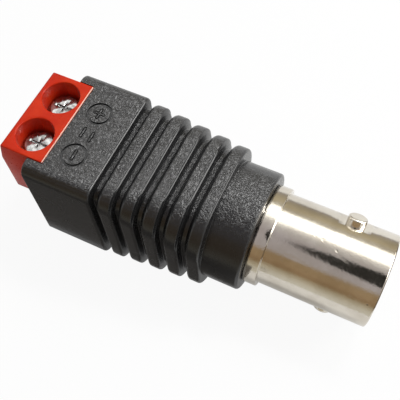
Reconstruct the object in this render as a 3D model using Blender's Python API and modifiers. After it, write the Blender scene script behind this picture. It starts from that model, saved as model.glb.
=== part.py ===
"""BNC jack to two-way screw terminal adapter, modelled piece by piece.

Every x position is measured from the housing's terminal end, along the jack's axis, with +X toward the
jack's mouth, +Y to the plus side and +Z toward the screw heads. The adapter_frame empty carries all the
pieces and stands them on z = 0, with the origin at the bottom centre. All lengths are in metres.
"""
import math

import bmesh
import bpy

# Housing: a square block that turns into a round collar over five rings
RING_WALL = 0.00193
SIDE_WALL = 0.00159
BLOCK_LENGTH = 0.0075
BLOCK_CORNER = 0.0013
END_ROUNDING = 0.00015
RING_COUNT = 5
RING_PITCH = 0.00233
GROOVE_FLOOR = 0.00038
GROOVE_RISE = 0.00036
GROOVE_DRAFT = 0.00012
GROOVE_DEPTH = 0.00085
CREST_ROUNDING = 0.00036
RISE_ROUNDING = 0.0003
FIRST_RING_CORNER = 0.0021
RING_CORNER_STEP = 0.00063
COLLAR_INSET = 0.0004
COLLAR_LENGTH = 0.00405
COLLAR_ROUNDING = 0.0005
CAVITY_LEDGE = 0.00042
TAIL_CAVITY_END = 0.0085

# Terminal block: two screw clamps side by side
TERMINAL_NOSE = 0.0039
TERMINAL_PROUD = 0.00005
NOSE_SLOPE_OUT = 0.0007
NOSE_SLOPE_DOWN = 0.0026
TERMINAL_EDGE = 0.00008
TERMINAL_FIT = 0.00006
POLE_MARGIN = 0.0001
WELL_WALL = 0.00106
WELL_FROM_FRONT = 0.00319
WIRE_ENTRY_FLARE = 0.0004

# Clamp: a brass box, a contact strip on its floor, a screw and its pressure plate
CLAMP_SPACING = 0.0014
CLAMP_SIDE = 0.0005
CLAMP_DEPTH = 0.0038
CLAMP_ROOF = 0.0010
CLAMP_FLOOR = 0.0003
CLAMP_FIT = 0.0001
CLAMP_REAR_GAP = 0.00055
CHAMBER_FLOOR = 0.0004
WINDOW_HEIGHT = 0.00265
STRIP_SIDE_GAP = 0.0002
STRIP_THICKNESS = 0.0003
STRIP_TAIL_WIDTH = 0.0012
STRIP_TAIL_LENGTH = 0.0030
STRIP_FIT = 0.00005
PLATE_INSET = 0.0006
PLATE_SIDE_GAP = 0.00025
PLATE_THICKNESS = 0.0003
PLATE_FIT = 0.0001
PLATE_LIFT = 0.0008
HEAD_GAP = 0.00032
HEAD_TRAVEL = 0.00115
SCREW_HEAD_HEIGHT = 0.00105
SCREW_HEAD_ROUNDING = 0.00022
SCREW_HEAD_DEPTH = 0.0017
SCREW_SHANK_RADIUS = 0.00112
SCREW_HOLE_FIT = 0.00013
SLOT_WIDTH = 0.00046
SLOT_DEPTH = 0.00055
CROSS_INSET = 0.0006

# Jack shell: turned brass, with two bayonet studs standing on milled flats
BARREL_RADIUS = 0.004825
BARREL_LENGTH = 0.01127
BARREL_WALL = 0.000775
BARREL_EDGE = 0.00015
FLANGE_STAND = 0.00045
FLANGE_LENGTH = 0.00138
FLANGE_GAP = 0.0001
FLANGE_EDGE = 0.0001
SHANK_STEP = 0.000125
SHANK_LENGTH = 0.0076
SHANK_FIT = 0.00012
SPIGOT_STEP = 0.0007
SPIGOT_WALL = 0.0005
SPIGOT_LENGTH = 0.0005
MOUTH_BORE_DEPTH = 0.0052
BORE_STEP = 0.00055
SEAT_DEPTH = 0.0084
STUD_RADIUS = 0.00095
STUD_STAND = 0.0007
STUD_FROM_MOUTH = 0.00436
STUD_ANGLE = math.radians(53)
FLAT_LENGTH = 0.0040
FLAT_DEPTH = 0.000125
FLAT_END_SLOPE = 5.0

# Parts inside the jack
INSULATOR_RADIUS = 0.0024
INSULATOR_STAND = 0.0050
INSULATOR_HEAD_LENGTH = 0.0060
WEB_LENGTH = 0.0025
BUSH_LENGTH = 0.0020
BUSH_WALL = 0.0014
INNER_FIT = 0.0001
CONTACT_RADIUS = 0.00105
CONTACT_BORE_RADIUS = 0.000675
CONTACT_BORE_DEPTH = 0.0052
CONTACT_RECESS = 0.0002
CONTACT_SLOT_WIDTH = 0.00024
CONTACT_SLOT_LENGTH = 0.0040
CONTACT_TAIL_RADIUS = 0.0007
CONTACT_TAIL_LENGTH = 0.0016
CONTACT_EDGE = 0.0001
CUP_FIT = 0.00007
CUP_DEPTH = 0.0012
TAG_INSET = 0.0001
TAG_THICKNESS = 0.0004
TAG_TAIL_WIDTH = 0.0016
TAG_TAIL_LENGTH = 0.0028

# Link leads from the contact strips to the jack
LEAD_CORE_RADIUS = 0.00035
LEAD_SLEEVE_RADIUS = 0.00065
LEAD_SLEEVE_FIT = 0.00005
LEAD_BARE_END = 0.0012
LEAD_STEPS = 12

# Radii of the jack, each from the one outside it
SHANK_RADIUS = BARREL_RADIUS - SHANK_STEP
SHANK_BORE = SHANK_RADIUS + SHANK_FIT
FLANGE_RADIUS = BARREL_RADIUS + FLANGE_STAND
STUD_TIP = BARREL_RADIUS + STUD_STAND
FLAT_HEIGHT = BARREL_RADIUS - FLAT_DEPTH
MOUTH_BORE_RADIUS = BARREL_RADIUS - BARREL_WALL
SEAT_BORE_RADIUS = MOUTH_BORE_RADIUS - BORE_STEP
SPIGOT_RADIUS = SHANK_RADIUS - SPIGOT_STEP
INSULATOR_HEAD_RADIUS = SPIGOT_RADIUS - SPIGOT_WALL - INNER_FIT
BUSH_BORE_RADIUS = INSULATOR_HEAD_RADIUS - BUSH_WALL
TAG_RADIUS = SHANK_RADIUS - TAG_INSET

# Widths of the housing, which closes round the jack's shank, and of the terminals between its side walls
HALF_SIZE = SHANK_BORE + RING_WALL
COLLAR_RADIUS = HALF_SIZE - COLLAR_INSET
TAIL_CAVITY_RADIUS = SHANK_BORE - CAVITY_LEDGE
HALF_TERMINAL = HALF_SIZE - SIDE_WALL - TERMINAL_FIT
POLE_PITCH = HALF_TERMINAL - POLE_MARGIN
WELL_RADIUS = (POLE_PITCH - WELL_WALL) / 2
CLAMP_WIDTH = POLE_PITCH - CLAMP_SPACING
WIRE_ENTRY_WIDTH = CLAMP_WIDTH - 2 * CLAMP_SIDE
STRIP_WIDTH = WIRE_ENTRY_WIDTH - 2 * STRIP_SIDE_GAP
PLATE_WIDTH = WIRE_ENTRY_WIDTH - 2 * PLATE_SIDE_GAP
PLATE_LENGTH = CLAMP_DEPTH - 2 * PLATE_INSET
SCREW_HEAD_RADIUS = WELL_RADIUS - HEAD_GAP

# Heights in the terminal block, from its top down
TERMINAL_TOP = HALF_SIZE + TERMINAL_PROUD
HEAD_TOP = TERMINAL_TOP - SCREW_HEAD_DEPTH
HEAD_BOTTOM = HEAD_TOP - SCREW_HEAD_HEIGHT
CLAMP_TOP = HEAD_BOTTOM - HEAD_TRAVEL
WINDOW_TOP = CLAMP_TOP - CLAMP_ROOF
WINDOW_BOTTOM = WINDOW_TOP - WINDOW_HEIGHT
CLAMP_BOTTOM = WINDOW_BOTTOM - CLAMP_FLOOR
CHAMBER_BOTTOM = CLAMP_BOTTOM - CLAMP_FIT
TERMINAL_BOTTOM = CHAMBER_BOTTOM - CHAMBER_FLOOR
STRIP_BOTTOM = WINDOW_BOTTOM + STRIP_FIT
STRIP_TOP = STRIP_BOTTOM + STRIP_THICKNESS
SCREW_TIP = WINDOW_TOP - PLATE_LIFT
PLATE_TOP = SCREW_TIP - PLATE_FIT

# Places along the axis
RINGS_END = BLOCK_LENGTH + RING_COUNT * RING_PITCH
COLLAR_END = RINGS_END + COLLAR_LENGTH
FLANGE_START = COLLAR_END + FLANGE_GAP
FLANGE_END = FLANGE_START + FLANGE_LENGTH
MOUTH = FLANGE_END + BARREL_LENGTH
SHANK_START = FLANGE_START - SHANK_LENGTH
SPIGOT_START = SHANK_START - SPIGOT_LENGTH
SEAT = MOUTH - SEAT_DEPTH
TERMINAL_FRONT = -TERMINAL_NOSE
SCREW_X = TERMINAL_FRONT + WELL_FROM_FRONT
CLAMP_REAR = SCREW_X + CLAMP_DEPTH / 2
TERMINAL_REAR = CLAMP_REAR + CLAMP_REAR_GAP
POCKET_REAR = TERMINAL_REAR + TERMINAL_FIT
STRIP_REAR = CLAMP_REAR + STRIP_TAIL_LENGTH
INSULATOR_FRONT = SEAT + INSULATOR_STAND
INSULATOR_REAR = SEAT - WEB_LENGTH - INNER_FIT - INSULATOR_HEAD_LENGTH
CONTACT_FRONT = INSULATOR_FRONT - CONTACT_RECESS
TAG_FRONT = SHANK_START - INNER_FIT
TAG_REAR = TAG_FRONT - TAG_THICKNESS
CONTACT_REAR = SPIGOT_START - CONTACT_TAIL_LENGTH
POLES = {"minus": -POLE_PITCH / 2, "plus": POLE_PITCH / 2}

ROUND_STEPS = 48
SMALL_ROUND_STEPS = 24
CORNER_STEPS = 6
EDGE_STEPS = 3
MERGE = 0.000005
CUT_MARGIN = 0.001


def start_scene():
    """Empties the scene and returns the collections for the pieces and for the cutters."""
    for item in list(bpy.data.objects):
        bpy.data.objects.remove(item)
    pieces = bpy.data.collections.new("bnc_screw_terminal_adapter")
    cutters = bpy.data.collections.new("cutters")
    for collection in (pieces, cutters):
        bpy.context.scene.collection.children.link(collection)
    return pieces, cutters


PIECES, CUTTERS = start_scene()


def make_material(name, colour, roughness, metallic=0.0):
    """Returns a Principled material with one colour."""
    material = bpy.data.materials.new(name)
    material.use_nodes = True
    shader = material.node_tree.nodes["Principled BSDF"]
    shader.inputs["Base Color"].default_value = (*colour, 1.0)
    shader.inputs["Roughness"].default_value = roughness
    shader.inputs["Metallic"].default_value = metallic
    return material


BLACK_PLASTIC = make_material("black_plastic", (0.045, 0.045, 0.047), 0.45)
RED_PLASTIC = make_material("red_plastic", (0.50, 0.035, 0.012), 0.35)
NICKEL = make_material("nickel_plate", (0.72, 0.69, 0.62), 0.18, 1.0)
TINNED = make_material("tin_plate", (0.70, 0.70, 0.69), 0.35, 1.0)
ZINC = make_material("zinc_plated_steel", (0.75, 0.75, 0.74), 0.30, 1.0)
GOLD = make_material("gilt_contact", (0.80, 0.58, 0.22), 0.22, 1.0)
PTFE = make_material("white_insulator", (0.82, 0.82, 0.79), 0.50)
RED_SLEEVE = make_material("red_lead_sleeve", (0.45, 0.03, 0.02), 0.50)
BLACK_SLEEVE = make_material("black_lead_sleeve", (0.03, 0.03, 0.03), 0.50)


def make_frame():
    """Returns the empty that carries every piece and stands the adapter on the ground."""
    frame = bpy.data.objects.new("adapter_frame", None)
    frame.location = (-(TERMINAL_FRONT + MOUTH) / 2, 0, HALF_SIZE)
    PIECES.objects.link(frame)
    return frame


FRAME = make_frame()


def add_object(name, data, material=None, place=(0, 0, 0), turn=(0, 0, 0), cutter=False):
    """Adds an object to the pieces, or to the cutters, under the adapter's frame."""
    item = bpy.data.objects.new(name, data)
    item.parent = FRAME
    item.location = place
    item.rotation_euler = turn
    if cutter:
        item.hide_render = True
        item.display_type = "WIRE"
        CUTTERS.objects.link(item)
    else:
        data.materials.append(material)
        PIECES.objects.link(item)
    return item


def combine(target, tool, operation="DIFFERENCE"):
    """Cuts the tool out of the target, or joins it on, with a Boolean modifier."""
    modifier = target.modifiers.new(tool.name, "BOOLEAN")
    modifier.object = tool
    modifier.operation = operation
    modifier.solver = "EXACT"


def soften(item, width, segments=2):
    """Rounds the sharp edges of an object with a Bevel modifier."""
    modifier = item.modifiers.new("edges", "BEVEL")
    modifier.width = width
    modifier.segments = segments
    modifier.limit_method = "ANGLE"
    modifier.angle_limit = math.radians(40)


def box_mesh(name, low, high):
    """Returns a box between two corners."""
    mesh = bpy.data.meshes.new(name)
    work = bmesh.new()
    bmesh.ops.create_cube(work, size=1.0)
    for vertex in work.verts:
        for axis in range(3):
            vertex.co[axis] = high[axis] if vertex.co[axis] > 0 else low[axis]
    work.to_mesh(mesh)
    work.free()
    return mesh


def add_turned(name, profile, material=None, steps=ROUND_STEPS, upright=False, place=(0, 0, 0), cutter=False):
    """Turns a profile of (along, radius) points; the axis is X, or Z where upright is set."""
    mesh = bpy.data.meshes.new(name)
    points = [(radius, 0, along) for along, radius in profile]
    closed = all(radius > 0 for along, radius in profile)
    count = len(points)
    edges = [(index, (index + 1) % count) for index in range(count if closed else count - 1)]
    mesh.from_pydata(points, edges, [])
    turn = (0, 0, 0) if upright else (0, math.pi / 2, 0)
    item = add_object(name, mesh, material, place, turn, cutter)
    screw = item.modifiers.new("turning", "SCREW")
    screw.axis = "Z"
    screw.steps = steps
    screw.render_steps = steps
    screw.use_merge_vertices = True
    screw.merge_threshold = MERGE
    screw.use_smooth_shade = True
    return item


def add_prism(name, outline, half_width, material=None, place=(0, 0, 0), cutter=False):
    """Extrudes an outline of (x, z) points across the width."""
    curve = bpy.data.curves.new(name, "CURVE")
    curve.dimensions = "2D"
    curve.fill_mode = "BOTH"
    curve.extrude = half_width
    spline = curve.splines.new("POLY")
    spline.points.add(len(outline) - 1)
    for point, (along, height) in zip(spline.points, outline):
        point.co = (along, height, 0, 1)
    spline.use_cyclic_u = True
    return add_object(name, curve_to_mesh(curve), material, place, (math.pi / 2, 0, 0), cutter)


def curve_to_mesh(curve):
    """Returns a curve's solid as a mesh with its caps welded on."""
    carrier = bpy.data.objects.new("carrier", curve)
    bpy.context.scene.collection.objects.link(carrier)
    graph = bpy.context.evaluated_depsgraph_get()
    mesh = bpy.data.meshes.new_from_object(carrier.evaluated_get(graph))
    bpy.data.objects.remove(carrier)
    work = bmesh.new()
    work.from_mesh(mesh)
    bmesh.ops.remove_doubles(work, verts=work.verts, dist=MERGE)
    bmesh.ops.recalc_face_normals(work, faces=work.faces)
    work.to_mesh(mesh)
    work.free()
    return mesh


def add_tube(name, points, radius, material=None, cutter=False):
    """Runs a round wire through the points."""
    curve = bpy.data.curves.new(name, "CURVE")
    curve.dimensions = "3D"
    curve.bevel_depth = radius
    curve.bevel_resolution = 2
    curve.use_fill_caps = True
    spline = curve.splines.new("POLY")
    spline.points.add(len(points) - 1)
    for point, place in zip(spline.points, points):
        point.co = (*place, 1)
    return add_object(name, curve_to_mesh(curve), material, cutter=cutter)


def section(along, half, corner):
    """Returns one rounded square of the housing's loft."""
    points = []
    for quarter, (side, rise) in enumerate(((1, 1), (-1, 1), (-1, -1), (1, -1))):
        for step in range(CORNER_STEPS + 1):
            angle = (quarter + step / CORNER_STEPS) * math.pi / 2
            across = side * (half - corner) + corner * math.cos(angle)
            height = rise * (half - corner) + corner * math.sin(angle)
            points.append((along, across, height))
    return points


def ring_corner(index):
    """Returns the corner radius of a ring, which grows toward the collar."""
    return FIRST_RING_CORNER + index * RING_CORNER_STEP


def groove_sections(start, corner):
    """Returns the floor of the groove that starts at a ring's collar side."""
    half = HALF_SIZE - GROOVE_DEPTH
    inner_corner = corner - GROOVE_DEPTH
    floor_start = start + GROOVE_DRAFT
    return [section(floor_start, half, inner_corner), section(floor_start + GROOVE_FLOOR, half, inner_corner)]


def edge_sections(edge, corner, radius, facing):
    """Returns the rounding at an edge that faces the jack (1) or the terminals (-1)."""
    sections = []
    for step in range(EDGE_STEPS + 1):
        angle = step / EDGE_STEPS * math.pi / 2
        drop = radius * (1 - math.cos(angle))
        sections.append(section(edge - facing * radius * (1 - math.sin(angle)), HALF_SIZE - drop, corner - drop))
    return sections[::facing]


def housing_sections():
    """Returns the housing's sections from the terminal end to the last ring."""
    sections = [section(0, HALF_SIZE - END_ROUNDING, BLOCK_CORNER), section(END_ROUNDING, HALF_SIZE, BLOCK_CORNER)]
    sections += edge_sections(BLOCK_LENGTH, BLOCK_CORNER, CREST_ROUNDING, 1)
    for index in range(RING_COUNT):
        groove = BLOCK_LENGTH + index * RING_PITCH
        corner = ring_corner(index)
        sections += groove_sections(groove, corner)
        crest_start = groove + GROOVE_DRAFT + GROOVE_FLOOR + GROOVE_RISE
        sections += edge_sections(crest_start, corner, RISE_ROUNDING, -1)
        sections += edge_sections(groove + RING_PITCH, corner, CREST_ROUNDING, 1)
    return sections


def loft_mesh(name, sections):
    """Skins a row of closed sections and caps both ends."""
    mesh = bpy.data.meshes.new(name)
    work = bmesh.new()
    rows = [[work.verts.new(point) for point in points] for points in sections]
    count = len(rows[0])
    for first, second in zip(rows, rows[1:]):
        for index in range(count):
            after = (index + 1) % count
            work.faces.new((first[index], first[after], second[after], second[index]))
    work.faces.new(rows[0][::-1])
    work.faces.new(rows[-1])
    bmesh.ops.recalc_face_normals(work, faces=work.faces)
    work.to_mesh(mesh)
    work.free()
    return mesh


def build_housing():
    """Builds the moulded housing with its pocket, its cavity and the bore for the jack's shank."""
    mesh = loft_mesh("housing", housing_sections())
    mesh.shade_smooth()
    mesh.set_sharp_from_angle(angle=math.radians(35))
    housing = add_object("housing", mesh, BLACK_PLASTIC)
    half_turn = COLLAR_ROUNDING * (1 - math.sqrt(0.5))
    collar = add_turned("collar", [
        (COLLAR_END, 0),
        (COLLAR_END, COLLAR_RADIUS - COLLAR_ROUNDING),
        (COLLAR_END - half_turn, COLLAR_RADIUS - half_turn),
        (COLLAR_END - COLLAR_ROUNDING, COLLAR_RADIUS),
        (RINGS_END - RING_PITCH / 3, COLLAR_RADIUS),
        (RINGS_END - RING_PITCH / 3, 0),
    ], cutter=True)
    combine(housing, collar, "UNION")
    cavity = add_turned("cavity", [
        (COLLAR_END + CUT_MARGIN, 0),
        (COLLAR_END + CUT_MARGIN, SHANK_BORE),
        (TAIL_CAVITY_END, SHANK_BORE),
        (TAIL_CAVITY_END, TAIL_CAVITY_RADIUS),
        (POCKET_REAR - TERMINAL_FIT, TAIL_CAVITY_RADIUS),
        (POCKET_REAR - TERMINAL_FIT, 0),
    ], cutter=True)
    combine(housing, cavity)
    half_pocket = HALF_TERMINAL + TERMINAL_FIT
    pocket = add_object("pocket", box_mesh(
        "pocket",
        (-CUT_MARGIN, -half_pocket, TERMINAL_BOTTOM - TERMINAL_FIT),
        (POCKET_REAR, half_pocket, HALF_SIZE + CUT_MARGIN),
    ), cutter=True)
    combine(housing, pocket)


def build_terminal_body():
    """Builds the terminal moulding, open at the back for the clamps."""
    slope_top = TERMINAL_FRONT + NOSE_SLOPE_OUT
    body = add_prism("terminal_body", [
        (slope_top, TERMINAL_TOP),
        (TERMINAL_FRONT, TERMINAL_TOP - NOSE_SLOPE_DOWN),
        (TERMINAL_FRONT, TERMINAL_BOTTOM),
        (TERMINAL_REAR, TERMINAL_BOTTOM),
        (TERMINAL_REAR, TERMINAL_TOP),
    ], HALF_TERMINAL, RED_PLASTIC)
    soften(body, TERMINAL_EDGE, 1)
    half_chamber = CLAMP_WIDTH / 2 + CLAMP_FIT
    half_entry = WIRE_ENTRY_WIDTH / 2
    entry_low = STRIP_TOP
    entry_high = WINDOW_TOP - CLAMP_FIT
    for pole, across in POLES.items():
        chamber = add_object(f"chamber_{pole}", box_mesh(
            f"chamber_{pole}",
            (SCREW_X - CLAMP_DEPTH / 2 - CLAMP_FIT, across - half_chamber, CHAMBER_BOTTOM),
            (TERMINAL_REAR + CUT_MARGIN, across + half_chamber, CLAMP_TOP + CLAMP_FIT),
        ), cutter=True)
        combine(body, chamber)
        well = add_turned(f"well_{pole}", [
            (TERMINAL_TOP + CUT_MARGIN, 0),
            (TERMINAL_TOP + CUT_MARGIN, WELL_RADIUS),
            (CLAMP_TOP - CLAMP_FIT, WELL_RADIUS),
            (CLAMP_TOP - CLAMP_FIT, 0),
        ], upright=True, place=(SCREW_X, across, 0), cutter=True)
        combine(body, well)
        entry = add_object(f"entry_{pole}", box_mesh(
            f"entry_{pole}",
            (TERMINAL_FRONT - CUT_MARGIN, across - half_entry, entry_low),
            (SCREW_X, across + half_entry, entry_high),
        ), cutter=True)
        combine(body, entry)
        combine(body, entry_flare(pole, across, half_entry, entry_low, entry_high))


def entry_flare(pole, across, half_entry, low, high):
    """Returns the tapered mouth of a wire entry as a cutter."""
    rows = []
    for along, grow in ((TERMINAL_FRONT - WIRE_ENTRY_FLARE, 2), (TERMINAL_FRONT + WIRE_ENTRY_FLARE, 0)):
        wide = half_entry + grow * WIRE_ENTRY_FLARE
        bottom = low - grow * WIRE_ENTRY_FLARE
        top = high + grow * WIRE_ENTRY_FLARE
        rows.append([
            (along, across - wide, bottom), (along, across + wide, bottom),
            (along, across + wide, top), (along, across - wide, top),
        ])
    name = f"entry_flare_{pole}"
    return add_object(name, loft_mesh(name, rows), cutter=True)


def build_clamp(pole, across):
    """Builds one pole's clamp box and the contact strip on its floor."""
    half_depth = CLAMP_DEPTH / 2
    half_width = CLAMP_WIDTH / 2
    clamp = add_object(f"clamp_box_{pole}", box_mesh(
        f"clamp_box_{pole}", (-half_depth, -half_width, CLAMP_BOTTOM), (half_depth, half_width, CLAMP_TOP),
    ), TINNED, (SCREW_X, across, 0))
    soften(clamp, CLAMP_FLOOR / 2, 1)
    half_window = WIRE_ENTRY_WIDTH / 2
    window = add_object(f"clamp_window_{pole}", box_mesh(
        f"clamp_window_{pole}",
        (-half_depth - CUT_MARGIN, -half_window, WINDOW_BOTTOM),
        (half_depth + CUT_MARGIN, half_window, WINDOW_TOP),
    ), place=(SCREW_X, across, 0), cutter=True)
    combine(clamp, window)
    hole_radius = SCREW_SHANK_RADIUS + SCREW_HOLE_FIT
    hole = add_turned(f"clamp_hole_{pole}", [
        (CLAMP_TOP + CUT_MARGIN, 0), (CLAMP_TOP + CUT_MARGIN, hole_radius),
        (WINDOW_TOP - CLAMP_FIT, hole_radius), (WINDOW_TOP - CLAMP_FIT, 0),
    ], steps=SMALL_ROUND_STEPS, upright=True, place=(SCREW_X, across, 0), cutter=True)
    combine(clamp, hole)
    build_strip(pole, across)


def build_strip(pole, across):
    """Builds a contact strip, wide in the clamp and narrow at its solder tail."""
    strip_front = SCREW_X - CLAMP_DEPTH / 2 + CLAMP_FIT
    name = f"contact_strip_{pole}"
    curve = bpy.data.curves.new(name, "CURVE")
    curve.dimensions = "2D"
    curve.fill_mode = "BOTH"
    curve.extrude = STRIP_THICKNESS / 2
    wide = STRIP_WIDTH / 2
    narrow = STRIP_TAIL_WIDTH / 2
    half_outline = [
        (strip_front, wide), (CLAMP_REAR, wide), (CLAMP_REAR + wide - narrow, narrow), (STRIP_REAR, narrow),
    ]
    outline = half_outline + [(along, -side) for along, side in reversed(half_outline)]
    spline = curve.splines.new("POLY")
    spline.points.add(len(outline) - 1)
    for point, (along, side) in zip(spline.points, outline):
        point.co = (along, side, 0, 1)
    spline.use_cyclic_u = True
    place = (0, across, STRIP_BOTTOM + STRIP_THICKNESS / 2)
    add_object(name, curve_to_mesh(curve), TINNED, place)


def build_screw(pole, across):
    """Builds one clamp screw with a slotted cross recess, and the pressure plate at its tip."""
    rounding = SCREW_HEAD_ROUNDING
    name = f"terminal_screw_{pole}"
    screw = add_turned(name, [
        (HEAD_TOP, 0),
        (HEAD_TOP, SCREW_HEAD_RADIUS - 2 * rounding),
        (HEAD_TOP - rounding / 2, SCREW_HEAD_RADIUS - rounding / 2),
        (HEAD_TOP - 2 * rounding, SCREW_HEAD_RADIUS),
        (HEAD_BOTTOM, SCREW_HEAD_RADIUS),
        (HEAD_BOTTOM, SCREW_SHANK_RADIUS),
        (SCREW_TIP + rounding, SCREW_SHANK_RADIUS),
        (SCREW_TIP, SCREW_SHANK_RADIUS - rounding),
        (SCREW_TIP, 0),
    ], ZINC, SMALL_ROUND_STEPS, upright=True, place=(SCREW_X, across, 0))
    for cut, half_length in (("slot", SCREW_HEAD_RADIUS + CUT_MARGIN), ("cross", SCREW_HEAD_RADIUS - CROSS_INSET)):
        half_x, half_y = (half_length, SLOT_WIDTH / 2) if cut == "slot" else (SLOT_WIDTH / 2, half_length)
        recess = add_object(f"{cut}_{pole}", box_mesh(
            f"{cut}_{pole}", (-half_x, -half_y, HEAD_TOP - SLOT_DEPTH), (half_x, half_y, HEAD_TOP + CUT_MARGIN),
        ), place=(SCREW_X, across, 0), cutter=True)
        combine(screw, recess)
    plate = add_object(f"pressure_plate_{pole}", box_mesh(
        f"pressure_plate_{pole}",
        (-PLATE_LENGTH / 2, -PLATE_WIDTH / 2, PLATE_TOP - PLATE_THICKNESS),
        (PLATE_LENGTH / 2, PLATE_WIDTH / 2, PLATE_TOP),
    ), ZINC, (SCREW_X, across, 0))
    soften(plate, PLATE_THICKNESS / 3, 1)


def build_jack_shell():
    """Builds the turned shell with its milled flats and bayonet studs."""
    hole = INSULATOR_RADIUS + INNER_FIT
    head_hole = INSULATOR_HEAD_RADIUS + INNER_FIT
    lead_in = MOUTH_BORE_RADIUS - SEAT_BORE_RADIUS
    shell = add_turned("jack_shell", [
        (MOUTH, BARREL_RADIUS - BARREL_EDGE),
        (MOUTH - BARREL_EDGE, BARREL_RADIUS),
        (FLANGE_END, BARREL_RADIUS),
        (FLANGE_END, FLANGE_RADIUS - FLANGE_EDGE),
        (FLANGE_END - FLANGE_EDGE, FLANGE_RADIUS),
        (FLANGE_START, FLANGE_RADIUS),
        (FLANGE_START, SHANK_RADIUS),
        (SHANK_START, SHANK_RADIUS),
        (SHANK_START, SPIGOT_RADIUS),
        (SPIGOT_START, SPIGOT_RADIUS),
        (SPIGOT_START, head_hole),
        (SEAT - WEB_LENGTH, head_hole),
        (SEAT - WEB_LENGTH, hole),
        (SEAT, hole),
        (SEAT, SEAT_BORE_RADIUS),
        (MOUTH - MOUTH_BORE_DEPTH - lead_in, SEAT_BORE_RADIUS),
        (MOUTH - MOUTH_BORE_DEPTH, MOUTH_BORE_RADIUS),
        (MOUTH - BARREL_EDGE, MOUTH_BORE_RADIUS),
        (MOUTH, MOUTH_BORE_RADIUS + BARREL_EDGE),
    ], NICKEL)
    high = STUD_TIP + CUT_MARGIN
    half_low = FLAT_LENGTH / 2
    half_high = half_low + FLAT_END_SLOPE * (high - FLAT_HEIGHT)
    outline = [(-half_low, FLAT_HEIGHT), (half_low, FLAT_HEIGHT), (half_high, high), (-half_high, high)]
    angles = (STUD_ANGLE, STUD_ANGLE + math.pi)
    place = (MOUTH - STUD_FROM_MOUTH, 0, 0)
    for index, angle in enumerate(angles):
        flat = add_prism(f"flat_{index}", outline, BARREL_RADIUS, place=place, cutter=True)
        flat.rotation_euler = (angle, 0, 0)
        combine(shell, flat)
    root = (MOUTH_BORE_RADIUS + FLAT_HEIGHT) / 2
    for index, angle in enumerate(angles):
        stud = add_turned(f"stud_{index}", [
            (STUD_TIP, 0), (STUD_TIP, STUD_RADIUS - BARREL_EDGE), (STUD_TIP - BARREL_EDGE, STUD_RADIUS),
            (root, STUD_RADIUS), (root, 0),
        ], steps=SMALL_ROUND_STEPS, upright=True, place=place, cutter=True)
        stud.rotation_euler = (angle - math.pi / 2, 0, 0)
        combine(shell, stud, "UNION")


def build_jack_inner():
    """Builds the insulator, the slotted centre contact, the retaining bush and the ground tag."""
    hole = CONTACT_RADIUS + INNER_FIT
    step = SEAT - WEB_LENGTH - INNER_FIT
    add_turned("jack_insulator", [
        (INSULATOR_FRONT, INSULATOR_RADIUS - BARREL_EDGE),
        (INSULATOR_FRONT - BARREL_EDGE, INSULATOR_RADIUS),
        (step, INSULATOR_RADIUS),
        (step, INSULATOR_HEAD_RADIUS),
        (INSULATOR_REAR, INSULATOR_HEAD_RADIUS),
        (INSULATOR_REAR, hole),
        (INSULATOR_FRONT, hole),
    ], PTFE)
    bush_front = INSULATOR_REAR - INNER_FIT
    bush_rear = bush_front - BUSH_LENGTH
    add_turned("retaining_bush", [
        (bush_front, INSULATOR_HEAD_RADIUS),
        (bush_rear, INSULATOR_HEAD_RADIUS),
        (bush_rear, BUSH_BORE_RADIUS),
        (bush_front, BUSH_BORE_RADIUS),
    ], NICKEL)
    build_contact()
    tag = add_turned("ground_tag", [
        (TAG_FRONT, TAG_RADIUS),
        (TAG_REAR, TAG_RADIUS),
        (TAG_REAR, SPIGOT_RADIUS + INNER_FIT),
        (TAG_FRONT, SPIGOT_RADIUS + INNER_FIT),
    ], TINNED)
    tail = add_object("tag_tail", box_mesh(
        "tag_tail",
        (TAG_REAR - TAG_TAIL_LENGTH, -TAG_RADIUS + INNER_FIT, -TAG_TAIL_WIDTH / 2),
        (TAG_FRONT - INNER_FIT, -TAG_RADIUS + INNER_FIT + TAG_THICKNESS, TAG_TAIL_WIDTH / 2),
    ), cutter=True)
    combine(tag, tail, "UNION")


def build_contact():
    """Builds the centre contact: a slotted socket in front and a solder cup behind."""
    cup_radius = LEAD_CORE_RADIUS + CUP_FIT
    contact = add_turned("centre_contact", [
        (CONTACT_FRONT - CONTACT_BORE_DEPTH, 0),
        (CONTACT_FRONT - CONTACT_BORE_DEPTH, CONTACT_BORE_RADIUS),
        (CONTACT_FRONT - CONTACT_EDGE, CONTACT_BORE_RADIUS),
        (CONTACT_FRONT, CONTACT_BORE_RADIUS + CONTACT_EDGE),
        (CONTACT_FRONT, CONTACT_RADIUS - CONTACT_EDGE),
        (CONTACT_FRONT - CONTACT_EDGE, CONTACT_RADIUS),
        (INSULATOR_REAR, CONTACT_RADIUS),
        (INSULATOR_REAR, CONTACT_TAIL_RADIUS),
        (CONTACT_REAR, CONTACT_TAIL_RADIUS),
        (CONTACT_REAR, cup_radius),
        (CONTACT_REAR + CUP_DEPTH, cup_radius),
        (CONTACT_REAR + CUP_DEPTH, 0),
    ], GOLD, SMALL_ROUND_STEPS)
    half = CONTACT_SLOT_WIDTH / 2
    reach = CONTACT_RADIUS + CUT_MARGIN
    for name, across, high in (("slot_flat", reach, half), ("slot_upright", half, reach)):
        slot = add_object(name, box_mesh(
            name,
            (CONTACT_FRONT - CONTACT_SLOT_LENGTH, -across, -high),
            (CONTACT_FRONT + CUT_MARGIN, across, high),
        ), cutter=True)
        combine(contact, slot)


def lead_route(start, end):
    """Returns points on a smooth S between two ends that both lie along the jack's axis."""
    points = []
    for step in range(LEAD_STEPS + 1):
        share = step / LEAD_STEPS
        ease = share * share * (3 - 2 * share)
        along = start[0] + share * (end[0] - start[0])
        points.append((along, start[1] + ease * (end[1] - start[1]), start[2] + ease * (end[2] - start[2])))
    return points


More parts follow.
